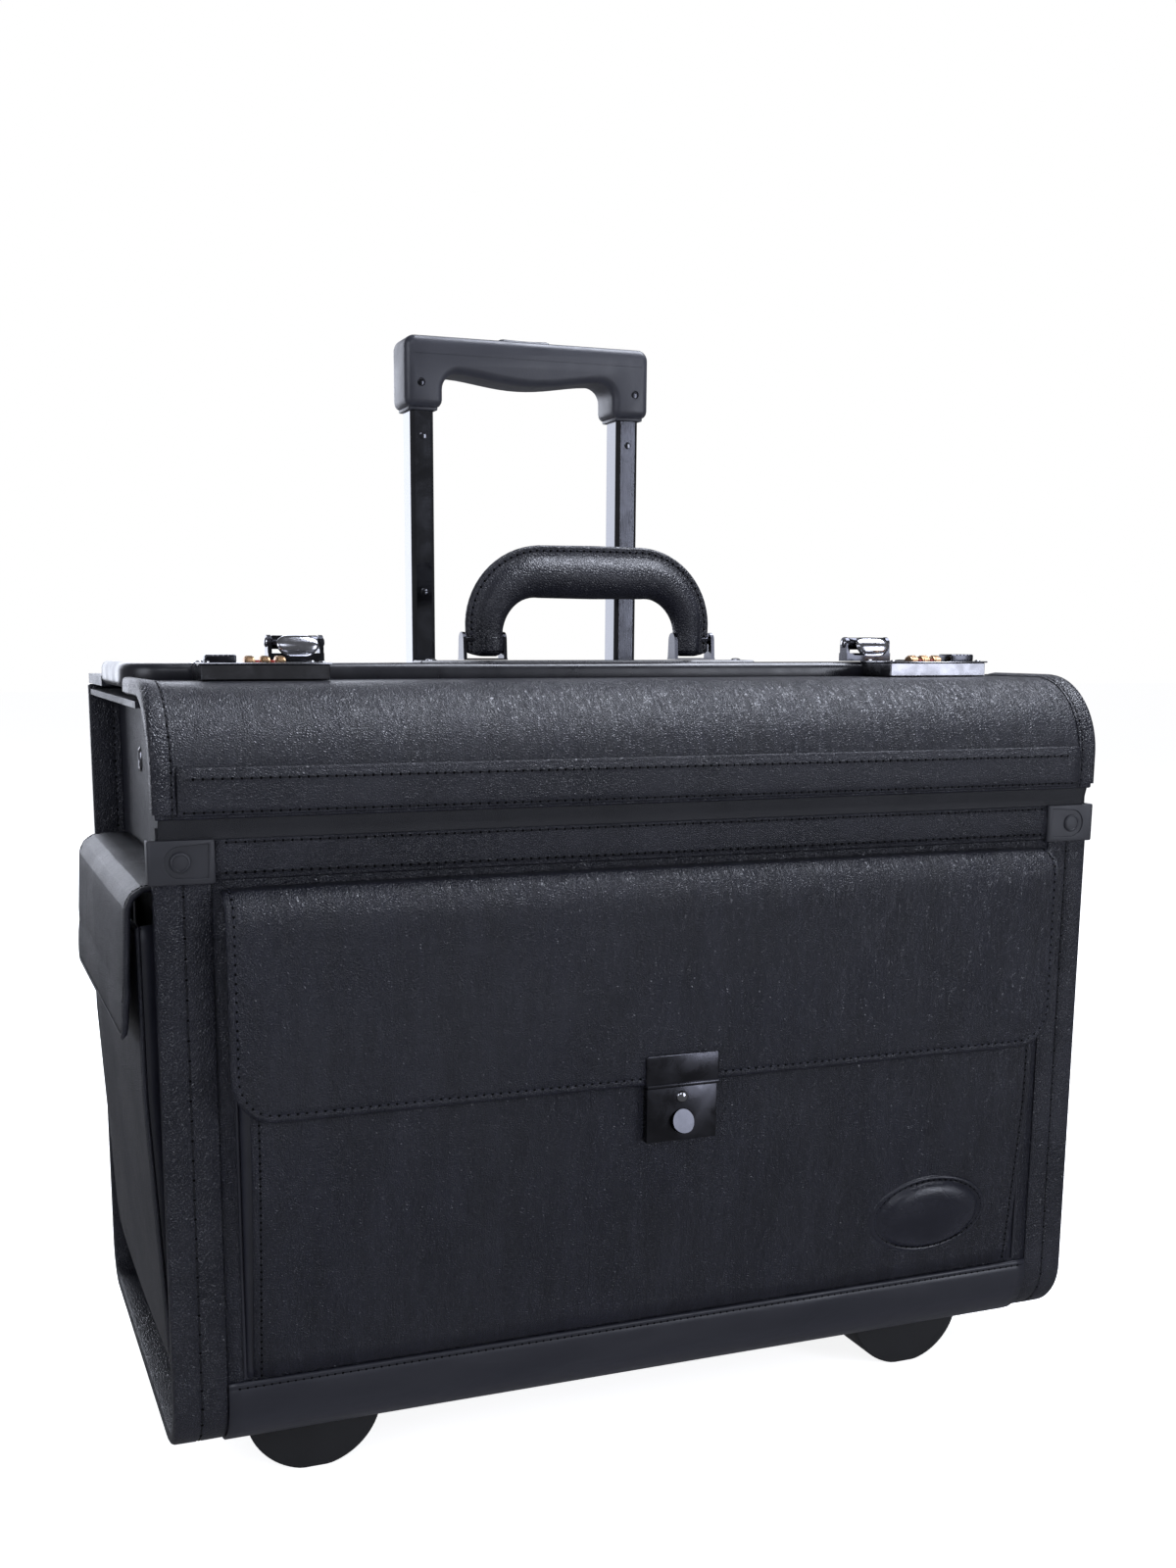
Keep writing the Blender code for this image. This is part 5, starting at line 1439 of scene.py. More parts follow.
@dataclass
class CarryHandle:
    """The padded leather grip with its sewn fin along the outside."""

    finishes: Wardrobe
    post_radius: float = 0.0068
    bar_radius: float = 0.0101
    fin: float = 0.0056
    fin_half: float = 0.0017
    corner: float = 0.0260

    def path(self) -> list[tuple[Vector, Vector, float]]:
        """Places, outward directions and tube radii along the grip's centre line."""
        low, high = node_box("carry_handle")
        middle_y = (low.y + high.y) / 2
        outer = high.x
        post_x = outer - self.fin - self.post_radius
        top = high.z - self.fin - self.bar_radius
        corner = self.corner
        centre = (post_x - corner, top - corner)
        stops: list[tuple[Point, Point, float]] = []
        foot = low.z + 0.0004
        posts = 11
        for index in range(posts):
            height = foot + (centre[1] - foot) * (index / posts) ** 1.6
            near_foot = max(0.0, 1.0 - (height - foot) / 0.0028)
            stops.append(((post_x, height), (1.0, 0.0), self.post_radius * (1.0 - 0.5 * near_foot ** 2)))
        for index in range(17):
            angle = math.radians(90 * index / 16)
            out = (math.cos(angle), math.sin(angle))
            share = index / 16
            radius = self.post_radius + (self.bar_radius - self.post_radius) * share ** 0.9
            stops.append(((centre[0] + corner * out[0], centre[1] + corner * out[1]), out, radius))
        for index in range(1, 9):
            across = centre[0] * (1 - index / 8)
            stops.append(((across, top), (0.0, 1.0), self.bar_radius * (1 + 0.03 * index / 8)))
        right = [(Vector((x, middle_y, z)), Vector((u, 0.0, w)), radius) for (x, z), (u, w), radius in stops]
        left = [(Vector((-place.x, place.y, place.z)), Vector((-out.x, 0.0, out.z)), radius)
                for place, out, radius in reversed(right[:-1])]
        return right + left

    def ring(self, place: Vector, outward: Vector, radius: float, fin: float) -> list[Vector]:
        """The cross-section: a round pad that draws out into a flat fin."""
        depth = Vector((0, 1, 0))
        points = []
        neck = math.degrees(math.asin(min(self.fin_half / radius * 1.5, 0.9)))
        for step in range(21):
            angle = math.radians(neck + (360 - 2 * neck) * step / 20)
            points.append(place + outward * (radius * math.cos(angle)) + depth * (radius * math.sin(angle)))
        root = radius * math.cos(math.radians(neck))
        reach = radius + fin
        half = self.fin_half
        tail = [(root + 0.0008, -half * 1.25), (radius + fin * 0.30, -half),
                (radius + fin * 0.52, -half * 0.78), (radius + fin * 0.75, -half),
                (reach - 0.0007, -half * 0.85), (reach, -half * 0.35)]
        tail += [(out, -side) for out, side in reversed(tail)]
        points += [place + outward * out + depth * side for out, side in tail]
        return points

    def build(self) -> None:
        """Make the grip, its stitches and the sewn patches at the posts' feet."""
        path = self.path()
        count = len(path)
        rings = []
        fins = []
        for index, (place, outward, radius) in enumerate(path):
            from_end = min(index, count - 1 - index)
            fin = self.fin * min(1.0, 0.15 + from_end / 4.0)
            fins.append(fin)
            rings.append(self.ring(place, outward, radius, fin))
        grip = finished("handle_grip", swept(rings), self.finishes.grip_leather, "handle", 50.0)
        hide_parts("carry_handle")
        # The paler thread here is a painted highlight of the grip's stitches catching the light.
        sewing = self.finishes.sewing("handle_grip", "handle", proud=0.0003, bright=True)
        for depth in (-1.0, 1.0):
            row = []
            for (place, outward, radius), fin in list(zip(path, fins))[3:-3]:
                aside = Vector((0, depth * self.fin_half * 0.84, 0))
                row.append((place + outward * (radius + fin * 0.52) + aside, Vector((0, depth, 0))))
            sewing.row(row, 0.0036)
        for sign in (-1.0, 1.0):
            self.patch(sign, path[0][0] if sign > 0 else path[-1][0])
        sewing.finish()

    def patch(self, sign: float, foot: Vector) -> None:
        """The folded leather cuff round a post's foot."""
        radius = self.post_radius + 0.0008
        rings = []
        for height, swell in ((0.0022, 0.84), (0.0028, 0.95), (0.0044, 0.96), (0.0095, 0.96), (0.0104, 0.93),
                              (0.0106, 0.87)):
            ring = []
            for step in range(17):
                angle = math.radians(55 + 250 * step / 16)
                out = Vector((sign * math.cos(angle), math.sin(angle), 0.0)) * radius * swell
                ring.append(foot + out + Vector((0, 0, height)))
            rings.append(ring)
        name = "handle_cuff_right" if sign > 0 else "handle_cuff_left"
        thicken(finished(name, swept(rings, closed=False), self.finishes.grip_leather, "handle", 50.0), 0.0010)


@dataclass
class Trolley:
    """The telescopic trolley: moulded grip, push button, tubes and bezel."""

    finishes: Wardrobe
    leg: float = 0.0210
    underside: float = 0.0190
    swell: float = 0.0042

    def outline(self, foot: float, half: float, top: float) -> list[Point]:
        """Front view of the grip, wound from the right shoulder over the top."""
        inner = half - self.leg
        corner = 0.0060
        fillet = 0.0085
        under = top - self.underside
        points = arc((half - corner, top - corner), corner, 0, 90, 8)
        points += arc((-half + corner, top - corner), corner, 90, 180, 8)
        points += [(-half, foot), (-inner, foot)]
        points += arc((-inner + fillet, under - fillet), fillet, 180, 90, 8)
        span = inner - fillet
        for step in range(1, 16):
            across = -span + 2 * span * step / 16
            points.append((across, under - self.swell * math.cos(math.pi * across / (2 * span)) ** 1.5))
        points += arc((inner - fillet, under - fillet), fillet, 90, 0, 8)
        points += [(inner, foot), (half, foot)]
        return points

    def build(self) -> None:
        """Make the grip and button, and dress the tubes."""
        finishes = self.finishes
        low, high = node_box("trolley_grip")
        top = high.z
        solid = bevelled(prism(self.outline(low.z, high.x, top), "Y", low.y, high.y), 0.0042, 4, 50.0)
        middle_y = (low.y + high.y) / 2
        button_low, button_high = node_box("trolley_button")
        gap = 0.0004
        well = block((button_low.x - gap, button_low.y - gap, button_low.z - 0.004),
                     (button_high.x + gap, button_high.y + gap, top + 0.01))
        well = bevelled(well, 0.0036, 3, 30.0)
        parting = block((low.x - 0.01, low.y - 0.01, top - 0.0098),
                        (high.x + 0.01, low.y + 0.0002, top - 0.0095))
        screws = []
        heads = []
        for sign in (-1.0, 1.0):
            centre = Vector((sign * (high.x - 0.0085), low.y, low.z + 0.0125))
            screws.append(turned(centre, Vector((0, 1, 0)), [(-0.002, 0.0), (-0.002, 0.0024), (0.0012, 0.0022),
                                                             (0.0012, 0.0)], 20))
            heads.append(turned(centre + Vector((0, 0.0012, 0)), Vector((0, -1, 0)),
                                [(-0.0004, 0.0), (-0.0004, 0.0018), (0.0003, 0.0016), (0.0006, 0.0)], 16))
        grip = finished("grip_moulding", carved(solid, well, parting, *screws), finishes.grip_plastic,
                        "trolley_inner", 35.0)
        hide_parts("trolley_grip")
        finished("grip_screws", merged(*heads), finishes.black_nickel, "trolley_inner", 50.0)
        self.button(button_low, button_high, middle_y)
        for side in Side:
            self.detents(side)
            self.collar(side, low)
        dress(finishes.lacquer, "trolley_inner_tube_left", "trolley_inner_tube_right",
              "trolley_middle_tube_left", "trolley_middle_tube_right")
        dress(finishes.steel, "trolley_sleeve_left", "trolley_sleeve_right", "trolley_release_link")
        dress(finishes.plastic, "trolley_bezel", "trolley_base_block")

    def button(self, low: Vector, high: Vector, middle_y: float) -> None:
        """The crowned push button in the grip's top, with a shallow finger dish."""
        cap = bevelled(block(low, high), 0.0034, 3, 30.0)
        bmesh.ops.subdivide_edges(cap, edges=[edge for edge in cap.edges if edge.calc_length() > 0.006], cuts=6,
                                  use_grid_fill=True)
        half_x = (high.x - low.x) / 2
        half_y = (high.y - low.y) / 2
        for vert in cap.verts:
            across = (vert.co.x / half_x) ** 2 + ((vert.co.y - middle_y) / half_y) ** 2
            if vert.co.z > high.z - 0.0006:
                vert.co.z -= 0.0007 * max(0.0, 1.0 - across)
        piece = finished("push_button", cap, self.finishes.grip_plastic, "trolley_release", 40.0)
        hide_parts("trolley_button")

    def detents(self, side: Side) -> None:
        """The sprung latch buttons that show on the inner tube's front face."""
        low, high = node_box("trolley_inner_tube_" + side.tag)
        centre_x = (low.x + high.x) / 2
        pips = []
        for drop in (0.012, 0.094):
            centre = Vector((centre_x, low.y, high.z - 0.016 - drop))
            pips.append(turned(centre, Vector((0, -1, 0)), [(-0.0006, 0.0), (-0.0006, 0.0020), (0.0001, 0.0019),
                                                            (0.0003, 0.0012), (0.00035, 0.0)], 20))
        finished("tube_latches_" + side.tag, merged(*pips), self.finishes.lacquer, "trolley_inner", 50.0)

    def collar(self, side: Side, grip_low: Vector) -> None:
        """The thin moulded lip where a tube enters the grip."""
        low, high = node_box("trolley_inner_tube_" + side.tag)
        outer = block((low.x - 0.0016, low.y - 0.0016, grip_low.z - 0.0012),
                      (high.x + 0.0016, high.y + 0.0016, grip_low.z + 0.0010))
        bore = block((low.x, low.y, grip_low.z - 0.01), (high.x, high.y, grip_low.z + 0.01))
        finished("grip_collar_" + side.tag, carved(bevelled(outer, 0.0007, 2), bore),
                 self.finishes.grip_plastic, "trolley_inner", 35.0)


@dataclass
class FrontPocket:
    """The shallow front pocket: sewn panel and folded side gussets; the padded oval is made by OvalPatch."""

    finishes: Wardrobe
    knee: float = 0.1280
    foot_front: float = 0.0015
    seam: Seam = Seam(0.0035, 0.0003, 0.0010, 0.0006, 0.020)

    def line(self) -> SectionLine:
        """Down the pocket's front: upright above the knee and sloping in below it."""
        low, high = node_box("front_pocket")
        front = low.y
        foot = (at_y(-self.foot_front) - 0.0004, low.z)
        knee = Vector((front, at_z(self.knee)))
        soft = 0.016
        down = (Vector(foot) - knee).normalized()
        bend = []
        for step in range(9):
            share = step / 8
            first = knee + Vector((0, soft)) * (1 - share)
            last = knee + down * soft * share
            mixed = first.lerp(last, share)
            bend.append((mixed.x, mixed.y))
        return SectionLine([(front, high.z)] + bend + [foot], -1.0)

    def panel(self) -> Panel:
        """The front panel, sewn along its two sides."""
        line = self.line()
        low, high = node_box("front_pocket")
        return Panel(Course(line), (low.x, high.x), (0.0, line.length), self.seam,
                     (Edge.LOW, Edge.HIGH, Edge.START), step=0.008)

    def build(self) -> None:
        """Make the pocket's pieces."""
        panel = self.panel()
        piece = laid("pocket_panel", panel.build(), self.finishes.front, "case", 0.0022)
        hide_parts("front_pocket")
        sewing = self.finishes.sewing("pocket", "case", 0.0008, 0.00026)
        for edge in (Edge.LOW, Edge.HIGH):
            sewing.row(panel.seam_path(self.seam.inset, (edge,)), 0.0034)
        sewing.finish()
        for side in Side:
            self.gusset(side)

    def gusset(self, side: Side) -> None:
        """A side gusset folded inwards, and the thin piping where it meets the case."""
        edge = node_box("front_pocket")[1].x
        line = self.line()
        sign = side.value
        rings = []
        piping = []
        for distance in evenly(0.0, line.length, 40):
            point, _ = line.at(distance)
            deep = max(FRONT_Y - point.x - 0.0008, 0.0006)
            fold = min(0.006, deep * 0.55)
            rings.append([Vector((sign * (edge + 0.0034), FRONT_Y - 0.0006, point.y)),
                          Vector((sign * (edge - 0.0004), FRONT_Y - 0.0006 - deep * 0.20, point.y)),
                          Vector((sign * (edge - fold), FRONT_Y - deep * 0.50, point.y)),
                          Vector((sign * (edge - 0.0008), FRONT_Y - deep * 0.82, point.y)),
                          Vector((sign * (edge - 0.0010), FRONT_Y - deep, point.y))])
            piping.append(squared_ring(Vector((sign * (edge + 0.0036), FRONT_Y - 0.0009, point.y)),
                                       Vector((1, 0, 0)), Vector((0, 1, 0)), (0.0007, 0.0007), (1.0, 1.0), 8))
        folds = swept(rings, closed=False)
        thicken(finished("pocket_gusset_" + side.tag, folds, self.finishes.vinyl, "case", 70.0), 0.0006)
        finished("pocket_piping_" + side.tag, swept(piping), self.finishes.vinyl, "case", 70.0)


@dataclass
class OvalPatch:
    """The plain padded oval with a sewn rim, low on the pocket."""

    finishes: Wardrobe
    pocket: FrontPocket
    furrow: float = 0.0024
    dome: float = 0.0036

    def build(self) -> None:
        """Make the oval and its stitches."""
        low, high = node_box("oval_badge")
        centre_x = (low.x + high.x) / 2
        line = self.pocket.line()
        course = Course(line)
        middle = line.distance_at_height((low.z + high.z) / 2)
        half_x = (high.x - low.x) / 2 + 0.0004
        half_s = 0.0210
        rings = []
        for radial in (1.0, 0.992, 0.975, 0.95, 0.915, 0.89, 0.875, 0.86, 0.84, 0.81, 0.76, 0.69, 0.60, 0.48,
                       0.34, 0.18, 0.04):
            gap = (1.0 - radial) * half_s
            edge_roll = 0.0006 + 0.0010 * (1 - max(0.0, 1 - gap / 0.0012) ** 2)
            furrow = -0.0007 * math.exp(-((gap - self.furrow) / 0.0006) ** 2)
            rise = edge_roll + furrow + self.dome * (1 - math.exp(-max(gap - 0.0032, 0.0) / 0.0022))
            rings.append([course.place(centre_x + half_x * radial * math.cos(math.radians(angle)),
                                       middle - half_s * radial * math.sin(math.radians(angle)), rise)
                          for angle in range(0, 360, 5)])
        piece = finished("oval_patch", swept(rings), self.finishes.patch, "case", 60.0)
        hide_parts("oval_badge")
        sewing = self.finishes.sewing("oval_patch", "case", 0.0008, 0.00026)
        path = []
        for step in range(121):
            angle = 2 * math.pi * step / 120
            radial = 1.0 - self.furrow / half_s
            distance = middle - half_s * radial * math.sin(angle)
            across = centre_x + (half_x - self.furrow) * math.cos(angle)
            path.append((course.place(across, distance, 0.0012), course.facing(distance)))
        sewing.row(path, 0.0034)
        sewing.finish()


@dataclass
class FrontFlap:
    """The pocket's flap: folded over at the top, sewn round its free edge."""

    finishes: Wardrobe
    fold: float = 0.0120
    hinge_gap: float = 0.0016
    hinge_drop: float = 0.0016
    corner: float = 0.0200
    seam: Seam = Seam(0.0034, 0.0004, 0.0012, 0.0007, 0.018)

    def build(self) -> None:
        """Make the flap and its stitches."""
        low, high = node_box("front_flap")
        top = high.z - self.hinge_drop
        centre = (low.y + self.fold, top - self.fold)
        bend = arc(centre, self.fold, 90, 180, 14)
        line = SectionLine([(high.y - self.hinge_gap, top)] + bend + [(low.y, low.z)], -1.0)
        panel = Panel(Course(line), (low.x, high.x), (0.0, line.length), self.seam,
                      (Edge.LOW, Edge.HIGH, Edge.END), end_radius=self.corner, step=0.007, detail=self.ease)
        piece = laid("flap_leather", panel.build(), self.finishes.front, "flap", 0.0026)
        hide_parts("front_flap")
        # The paler thread here is a painted highlight of the flap's stitches catching the light.
        sewing = self.finishes.sewing("flap", "flap", proud=0.00032, bright=True)
        sewing.row(panel.seam_path(self.seam.inset, (Edge.LOW, Edge.END, Edge.HIGH)), 0.0040)
        sewing.finish()

    def ease(self, across: float, distance: float) -> float:
        """A slight uneven fullness over the flap."""
        return 0.0004 * math.sin(across * 23.0 + 0.8) * math.sin(min(distance * 26.0, math.pi))


@dataclass
class TuckLock:
    """The flap's catch: hooked plate, plated case, pin and slanted push knob."""

    finishes: Wardrobe

    def build(self) -> None:
        """Make the catch's four pieces."""
        low, high = node_box("tuck_lock_plate")
        lip = bevelled(block((low.x, low.y, low.z), high), 0.0007, 3)
        hem = bevelled(block((low.x, low.y - 0.0008, low.z - 0.0001),
                             (high.x, low.y + 0.0006, low.z + 0.0014)), 0.0004, 2)
        plate = finished("catch_plate", merged(lip, hem), self.finishes.satin, "flap", 35.0)
        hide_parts("tuck_lock_plate")
        low, high = node_box("tuck_lock_case")
        knob_low, knob_high = node_box("tuck_lock_knob")
        centre = (knob_low + knob_high) / 2
        front = low.y + 0.0010
        radius = (knob_high.z - knob_low.z) / 2 + 0.0003
        body = bevelled(block((low.x, front, low.z), high), 0.0005, 2)
        depth = knob_high.y - front + 0.0026
        bore = turned(Vector((centre.x, front, centre.z)), Vector((0, 1, 0)),
                      [(-0.003, 0.0), (-0.003, radius), (depth, radius), (depth, 0.0)], 40)
        case = finished("catch_case", carved(body, bore), self.finishes.satin, "case", 30.0)
        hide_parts("tuck_lock_case")
        pin = turned(Vector((centre.x, front, centre.z + 0.0115)), Vector((0, -1, 0)),
                     [(-0.0004, 0.0), (-0.0004, 0.0029), (0.0002, 0.0029), (0.0008, 0.0025), (0.0013, 0.0014),
                      (0.0015, 0.0)], 32)
        finished("catch_pin", pin, self.finishes.nickel, "case", 60.0)
        self.knob(knob_low, knob_high)

    def knob(self, low: Vector, high: Vector) -> None:
        """The push knob, cut off at a slant so that a thumb finds its edge."""
        centre = (low + high) / 2
        radius = (high.z - low.z) / 2
        length = high.y - low.y
        body = turned(Vector((centre.x, high.y, centre.z)), Vector((0, -1, 0)),
                      [(0.0, 0.0), (0.0, radius), (length - 0.0006, radius), (length, radius - 0.0005),
                       (length, 0.0)], 40)
        slant = Vector((0.10, -1.0, 0.34)).normalized()
        cut = bmesh.ops.bisect_plane(body, geom=body.verts[:] + body.edges[:] + body.faces[:], dist=SAME_PLACE,
                                     plane_co=Vector((centre.x, low.y + 0.0018, centre.z)), plane_no=slant,
                                     clear_outer=True)
        rim = [item for item in cut["geom_cut"] if isinstance(item, bmesh.types.BMEdge)]
        bmesh.ops.contextual_create(body, geom=rim)
        knob = finished("catch_knob", body, self.finishes.black_nickel, "catch_knob", 30.0)
        soften(knob, 0.0003, 2, 30.0)
        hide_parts("tuck_lock_knob")


@dataclass
class EndPocket:
    """A wedge pocket on one end of the case, with its flap."""

    finishes: Wardrobe
    side: Side
    seam: Seam = Seam(0.0035, 0.0003, 0.0010, 0.0016, 0.030)
    fold: float = 0.0110

    def build(self) -> None:
        """Make the pocket's front, its gussets and the flap."""
        self.pocket()
        self.flap()

    def pocket(self) -> None:
        """The sewn front of the wedge and its two triangular gussets."""
        tag = self.side.tag
        sign = self.side.value
        low, high = node_box("end_pocket_" + tag)
        wall = min(abs(low.x), abs(high.x))
        reach = max(abs(low.x), abs(high.x))
        fall = [(reach, high.z), (reach - 0.0005, (high.z + low.z) / 2 + 0.03),
                (HALF_WIDTH + 0.0006, low.z + 0.018), (HALF_WIDTH - 0.0030, low.z + 0.006),
                (HALF_WIDTH - 0.0080, low.z + 0.0015), (wall + 0.001, low.z + 0.0005)]
        line = SectionLine([(sign * x, z) for x, z in fall], sign)
        panel = Panel(Course(line, Run.ALONG_Y), (low.y, high.y), (0.0, line.length), self.seam,
                      (Edge.LOW, Edge.HIGH, Edge.START), step=0.008)
        piece = laid("end_pocket_front_" + tag, panel.build(), self.finishes.end, "case", 0.0020)
        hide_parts("end_pocket_" + tag)
        sewing = self.finishes.sewing("end_pocket_" + tag, "case")
        for edge in (Edge.LOW, Edge.HIGH, Edge.START):
            sewing.row(panel.seam_path(self.seam.inset, (edge,)), 0.0040)
        sewing.finish()
        folds = ((0.02, 0.0), (0.30, 0.18), (0.55, 0.42), (0.80, 0.18), (1.0, 0.0))
        for end, inward, name in ((low.y + 0.0016, 1.0, "front"), (high.y - 0.0016, -1.0, "back")):
            rings = []
            for distance in evenly(0.0, line.length * 0.86, 24):
                point, _ = line.at(distance)
                deep = abs(point.x) - 0.0018 - wall
                rings.append([Vector((sign * (wall + share * deep), end + inward * bow * min(deep, 0.012),
                                      point.y)) for share, bow in folds])
            gusset = finished("end_gusset_%s_%s" % (tag, name), swept(rings, closed=False),
                              self.finishes.vinyl, "case", 70.0)
            thicken(gusset, 0.0008)

    def flap(self) -> None:
        """The flap over the pocket's mouth, with a sewn edge and a crease above its hem."""
        tag = self.side.tag
        sign = self.side.value
        low, high = node_box("end_flap_" + tag)
        inner = min(abs(low.x), abs(high.x))
        outer = max(abs(low.x), abs(high.x))
        centre = (outer - 0.003 - self.fold, high.z - self.fold)
        bend = [(sign * x, z) for x, z in arc(centre, self.fold, 90, 8, 12)]
        line = SectionLine([(sign * inner, high.z)] + bend + [(sign * outer, low.z)], sign)
        panel = Panel(Course(line, Run.ALONG_Y), (low.y, high.y), (0.0, line.length),
                      Seam(0.0034, 0.0003, 0.0010, 0.0004, 0.015), (Edge.LOW, Edge.HIGH, Edge.END),
                      end_radius=0.012, step=0.006, detail=self.crease(line.length))
        piece = laid("end_flap_leather_" + tag, panel.build(), self.finishes.end, "end_flap_" + tag, 0.0026)
        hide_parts("end_flap_" + tag)
        sewing = self.finishes.sewing("end_flap_" + tag, "end_flap_" + tag)
        sewing.row(panel.seam_path(0.0034, (Edge.LOW, Edge.END, Edge.HIGH)), 0.0040)
        sewing.finish()

    def crease(self, length: float) -> Callable[[float, float], float]:
        """A sewn line across the flap, a little above its hem."""
        def depth(across: float, distance: float) -> float:
            """How far the crease sinks the leather here."""
            return -0.0005 * math.exp(-((length - distance - 0.0220) / 0.0012) ** 2)
        return depth


@dataclass
class StandFoot:
    """A half-round standing foot with a rounded edge."""

    finishes: Wardrobe
    side: Side

    def build(self) -> None:
        """Make the foot."""
        low, high = node_box("stand_foot_" + self.side.tag)
        centre_x = (low.x + high.x) / 2
        radius = (high.x - low.x) / 2
        rim = arc((centre_x, high.z), radius, 180, 360, 40)
        rim = [(x, max(z, low.z)) for x, z in rim]
        foot = bevelled(prism(rim, "Y", low.y, high.y), 0.0012, 3, 60.0)
        piece = finished("foot_" + self.side.tag, foot, self.finishes.rubber, "case", 30.0)
        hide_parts("stand_foot_" + self.side.tag)
        flange = bevelled(block((low.x + 0.004, low.y - 0.003, high.z - 0.0016),
                                (high.x - 0.004, high.y + 0.003, high.z)), 0.0007, 2)
        finished("foot_flange_" + self.side.tag, flange, self.finishes.plastic, "case", 35.0)


@dataclass
class RollingWheel:
    """A grooved tyre on a spoked hub."""

    finishes: Wardrobe
    side: Side

    def build(self) -> None:
        """Make the tyre and the hub, and dress the wheel's housing."""
        tag = self.side.tag
        low, high = node_box("wheel_" + tag)
        centre = (low + high) / 2
        radius = (high.z - low.z) / 2
        half = (high.x - low.x) / 2
        axis = Vector((1, 0, 0))
        flank = [(half - 0.0028, radius - 0.0002), (half - 0.0008, radius - 0.0018), (half, radius - 0.0045),
                 (half, 0.0212), (half - 0.001, 0.0200)]
        profile = [(-along, out) for along, out in reversed(flank)]
        for groove in (-0.0050, 0.0, 0.0050):
            profile += [(groove - 0.0010, radius), (groove - 0.0006, radius - 0.0012),
                        (groove + 0.0006, radius - 0.0012), (groove + 0.0010, radius)]
        tyre = finished("tyre_" + tag, turned(centre, axis, profile + flank, 72), self.finishes.tyre,
                        "wheel_" + tag, 35.0)
        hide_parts("wheel_" + tag)
        web = [(half - 0.0012, 0.0036), (half - 0.0014, 0.0074), (0.0060, 0.0080), (0.0060, 0.0176),
               (half - 0.0010, 0.0180), (half - 0.0010, 0.0204)]
        rim = [(-along, out) for along, out in reversed(web)] + web
        hub = turned(centre, axis, rim, 72)
        ribs = []
        for index in range(6):
            angle = math.radians(60 * index)
            turn = Matrix.Translation(centre) @ Matrix.Rotation(angle, 4, "X") @ Matrix.Translation(-centre)
            rib = bevelled(block((centre.x - half + 0.0022, centre.y - 0.0012, centre.z + 0.0070),
                                 (centre.x + half - 0.0022, centre.y + 0.0012, centre.z + 0.0182)), 0.0005, 2)
            bmesh.ops.transform(rib, verts=rib.verts, matrix=turn)
            ribs.append(rib)
        finished("hub_" + tag, merged(hub, *ribs), self.finishes.plastic, "wheel_" + tag, 35.0)
        dress(self.finishes.plastic, "wheel_housing_" + tag)


# ---------------------------------------------------------------- studio
@dataclass(frozen=True)
class SoftBox:
    """An area light with its own aim."""

    name: str
    place: Place
    size: Point
    power: float
    aim: Place = (0.0, 0.0, 0.22)

    def build(self) -> None:
        """Hang the light."""
        data = bpy.data.lights.new(self.name, "AREA")
        data.shape = "RECTANGLE"
        data.size, data.size_y = self.size
        data.energy = self.power
        data.color = LAMP_COLOUR
        lamp = bpy.data.objects.new(self.name, data)
        lamp.location = self.place
        lamp.visible_camera = False
        lamp.rotation_euler = (Vector(self.aim) - Vector(self.place)).to_track_quat("-Z", "Y").to_euler()
        show(lamp)


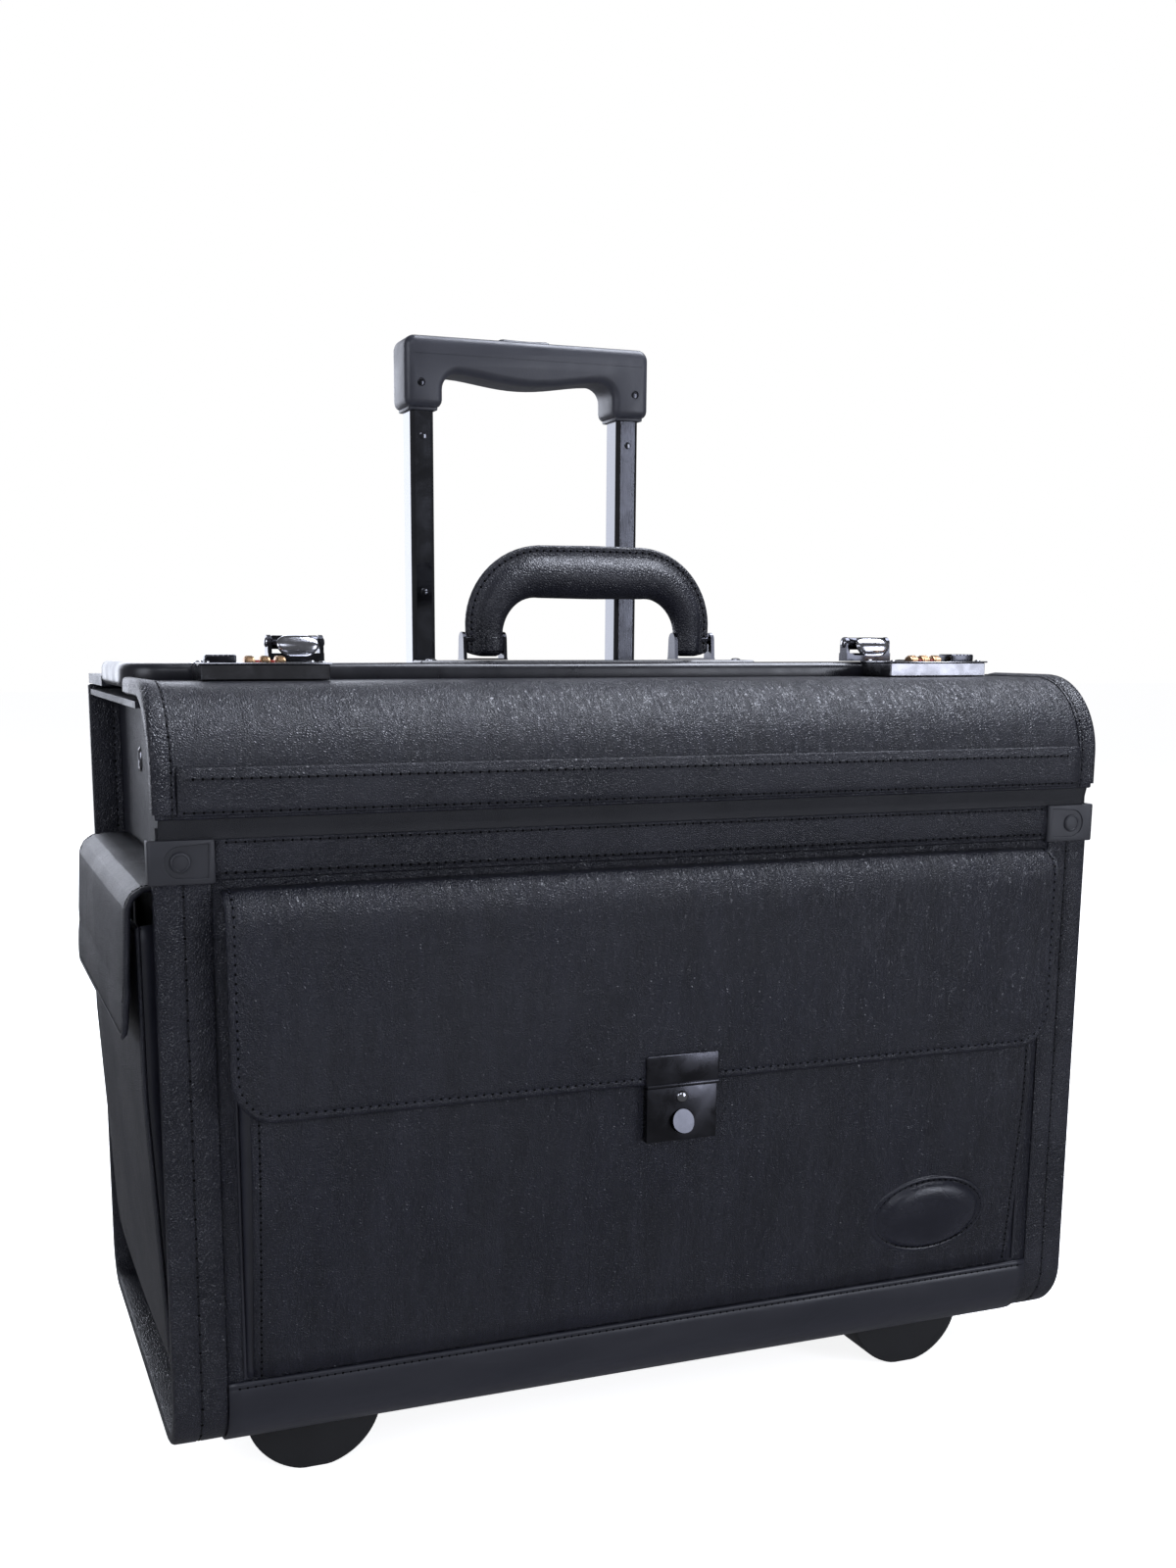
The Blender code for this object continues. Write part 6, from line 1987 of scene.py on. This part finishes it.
@dataclass(frozen=True)
class Studio:
    """The camera, pale floor, surrounding white and soft lights."""

    eye: Place = (-0.3216, -0.7988, 0.3919)
    yaw: float = 21.03
    pitch: float = 10.19
    roll: float = 0.18
    lens: float = 37.38
    shift: Point = (0.0248, 0.0948)
    room: float = 0.15
    floor_glow: float = 0.86

    def build(self) -> None:
        """Set up the studio."""
        self.camera()
        self.floor()
        self.surroundings()
        for lamp in (SoftBox("top_box", (0.75, 0.05, 1.8), (1.2, 0.9), 50.0, (0.05, -0.05, 0.3)),
                     SoftBox("left_box", (-1.7, -0.9, 1.0), (0.8, 1.0), 12.0),
                     SoftBox("right_box", (1.25, -1.75, 0.60), (0.6, 1.1), 15.0),
                     SoftBox("front_box", (-0.5, -2.2, 1.7), (1.2, 0.7), 8.0),
                     SoftBox("back_box", (-0.5, 2.3, 0.8), (2.2, 1.3), 26.0)):
            lamp.build()
        bpy.context.scene.view_settings.view_transform = "Standard"

    def camera(self) -> None:
        """Place the camera."""
        data = bpy.data.cameras.new("camera")
        data.lens = self.lens
        data.sensor_width = SENSOR_WIDTH
        data.shift_x, data.shift_y = self.shift
        data.clip_start = 0.02
        view = bpy.data.objects.new("camera", data)
        turn = (Matrix.Rotation(math.radians(-self.yaw), 4, "Z")
                @ Matrix.Rotation(math.radians(90 - self.pitch), 4, "X")
                @ Matrix.Rotation(math.radians(self.roll), 4, "Z"))
        view.matrix_world = Matrix.Translation(Vector(self.eye) + Vector((MIDDLE_X, 0.0, 0.0))) @ turn
        show(view)
        bpy.context.scene.camera = view

    def floor(self) -> None:
        """Lay the pale floor."""
        bm = bmesh.new()
        bmesh.ops.create_grid(bm, x_segments=4, y_segments=4, size=FLOOR_REACH)
        mesh = bpy.data.meshes.new("floor")
        bm.to_mesh(mesh)
        bm.free()
        sheet = NodeSheet("pale_floor")
        mottle = sheet.noise(sheet.place, 3.0, 3.0, 0.5)
        paint = sheet.blend_colours(mottle, (0.90, 0.90, 0.905), (0.92, 0.92, 0.925))
        mesh.materials.append(sheet.surface(paint, sheet.ramp(mottle, ((0.3, 0.80), (0.7, 0.88)))))
        sheet.shader.inputs["Emission Color"].default_value = (1.0, 1.0, 1.0, 1.0)
        sheet.shader.inputs["Emission Strength"].default_value = self.floor_glow
        floor = bpy.data.objects.new("floor", mesh)
        floor.visible_glossy = False
        show(floor)

    def surroundings(self) -> None:
        """A white room: bright where the camera sees it, softer as a light."""
        world = bpy.data.worlds.new("white_room")
        world.use_nodes = True
        tree = world.node_tree
        tree.nodes.clear()
        seen = tree.nodes.new("ShaderNodeBackground")
        seen.inputs["Color"].default_value = (1.0, 1.0, 1.0, 1.0)
        seen.inputs["Strength"].default_value = 1.0
        lit = tree.nodes.new("ShaderNodeBackground")
        lit.inputs["Color"].default_value = (0.93, 0.95, 1.0, 1.0)
        lit.inputs["Strength"].default_value = self.room
        path = tree.nodes.new("ShaderNodeLightPath")
        mix = tree.nodes.new("ShaderNodeMixShader")
        out = tree.nodes.new("ShaderNodeOutputWorld")
        tree.links.new(path.outputs["Is Camera Ray"], mix.inputs["Fac"])
        tree.links.new(lit.outputs["Background"], mix.inputs[1])
        tree.links.new(seen.outputs["Background"], mix.inputs[2])
        tree.links.new(mix.outputs["Shader"], out.inputs["Surface"])
        bpy.context.scene.world = world


def write_sizes() -> None:
    """Bring the view layer up to date."""
    bpy.context.view_layer.update()


def main() -> None:
    """Build the studio and every sub-assembly in turn."""
    logging.basicConfig(level=logging.INFO, format="%(message)s")
    Studio().build()
    finishes = Wardrobe()
    pocket = FrontPocket(finishes)
    assemblies: list[object] = [
        CaseBody(finishes), FrontLid(finishes), BackLid(finishes), CarryHandle(finishes), Trolley(finishes),
        pocket, OvalPatch(finishes, pocket), FrontFlap(finishes), TuckLock(finishes)]
    for side in Side:
        assemblies += [CornerBracket(finishes, side), LockSet(finishes, side), StandFoot(finishes, side),
                       RollingWheel(finishes, side)]
    assemblies.append(EndPocket(finishes, Side.LEFT))
    for assembly in assemblies:
        LOG.info("building %s", type(assembly).__name__)
        assembly.build()
    write_sizes()


if __name__ == "__main__":
    main()
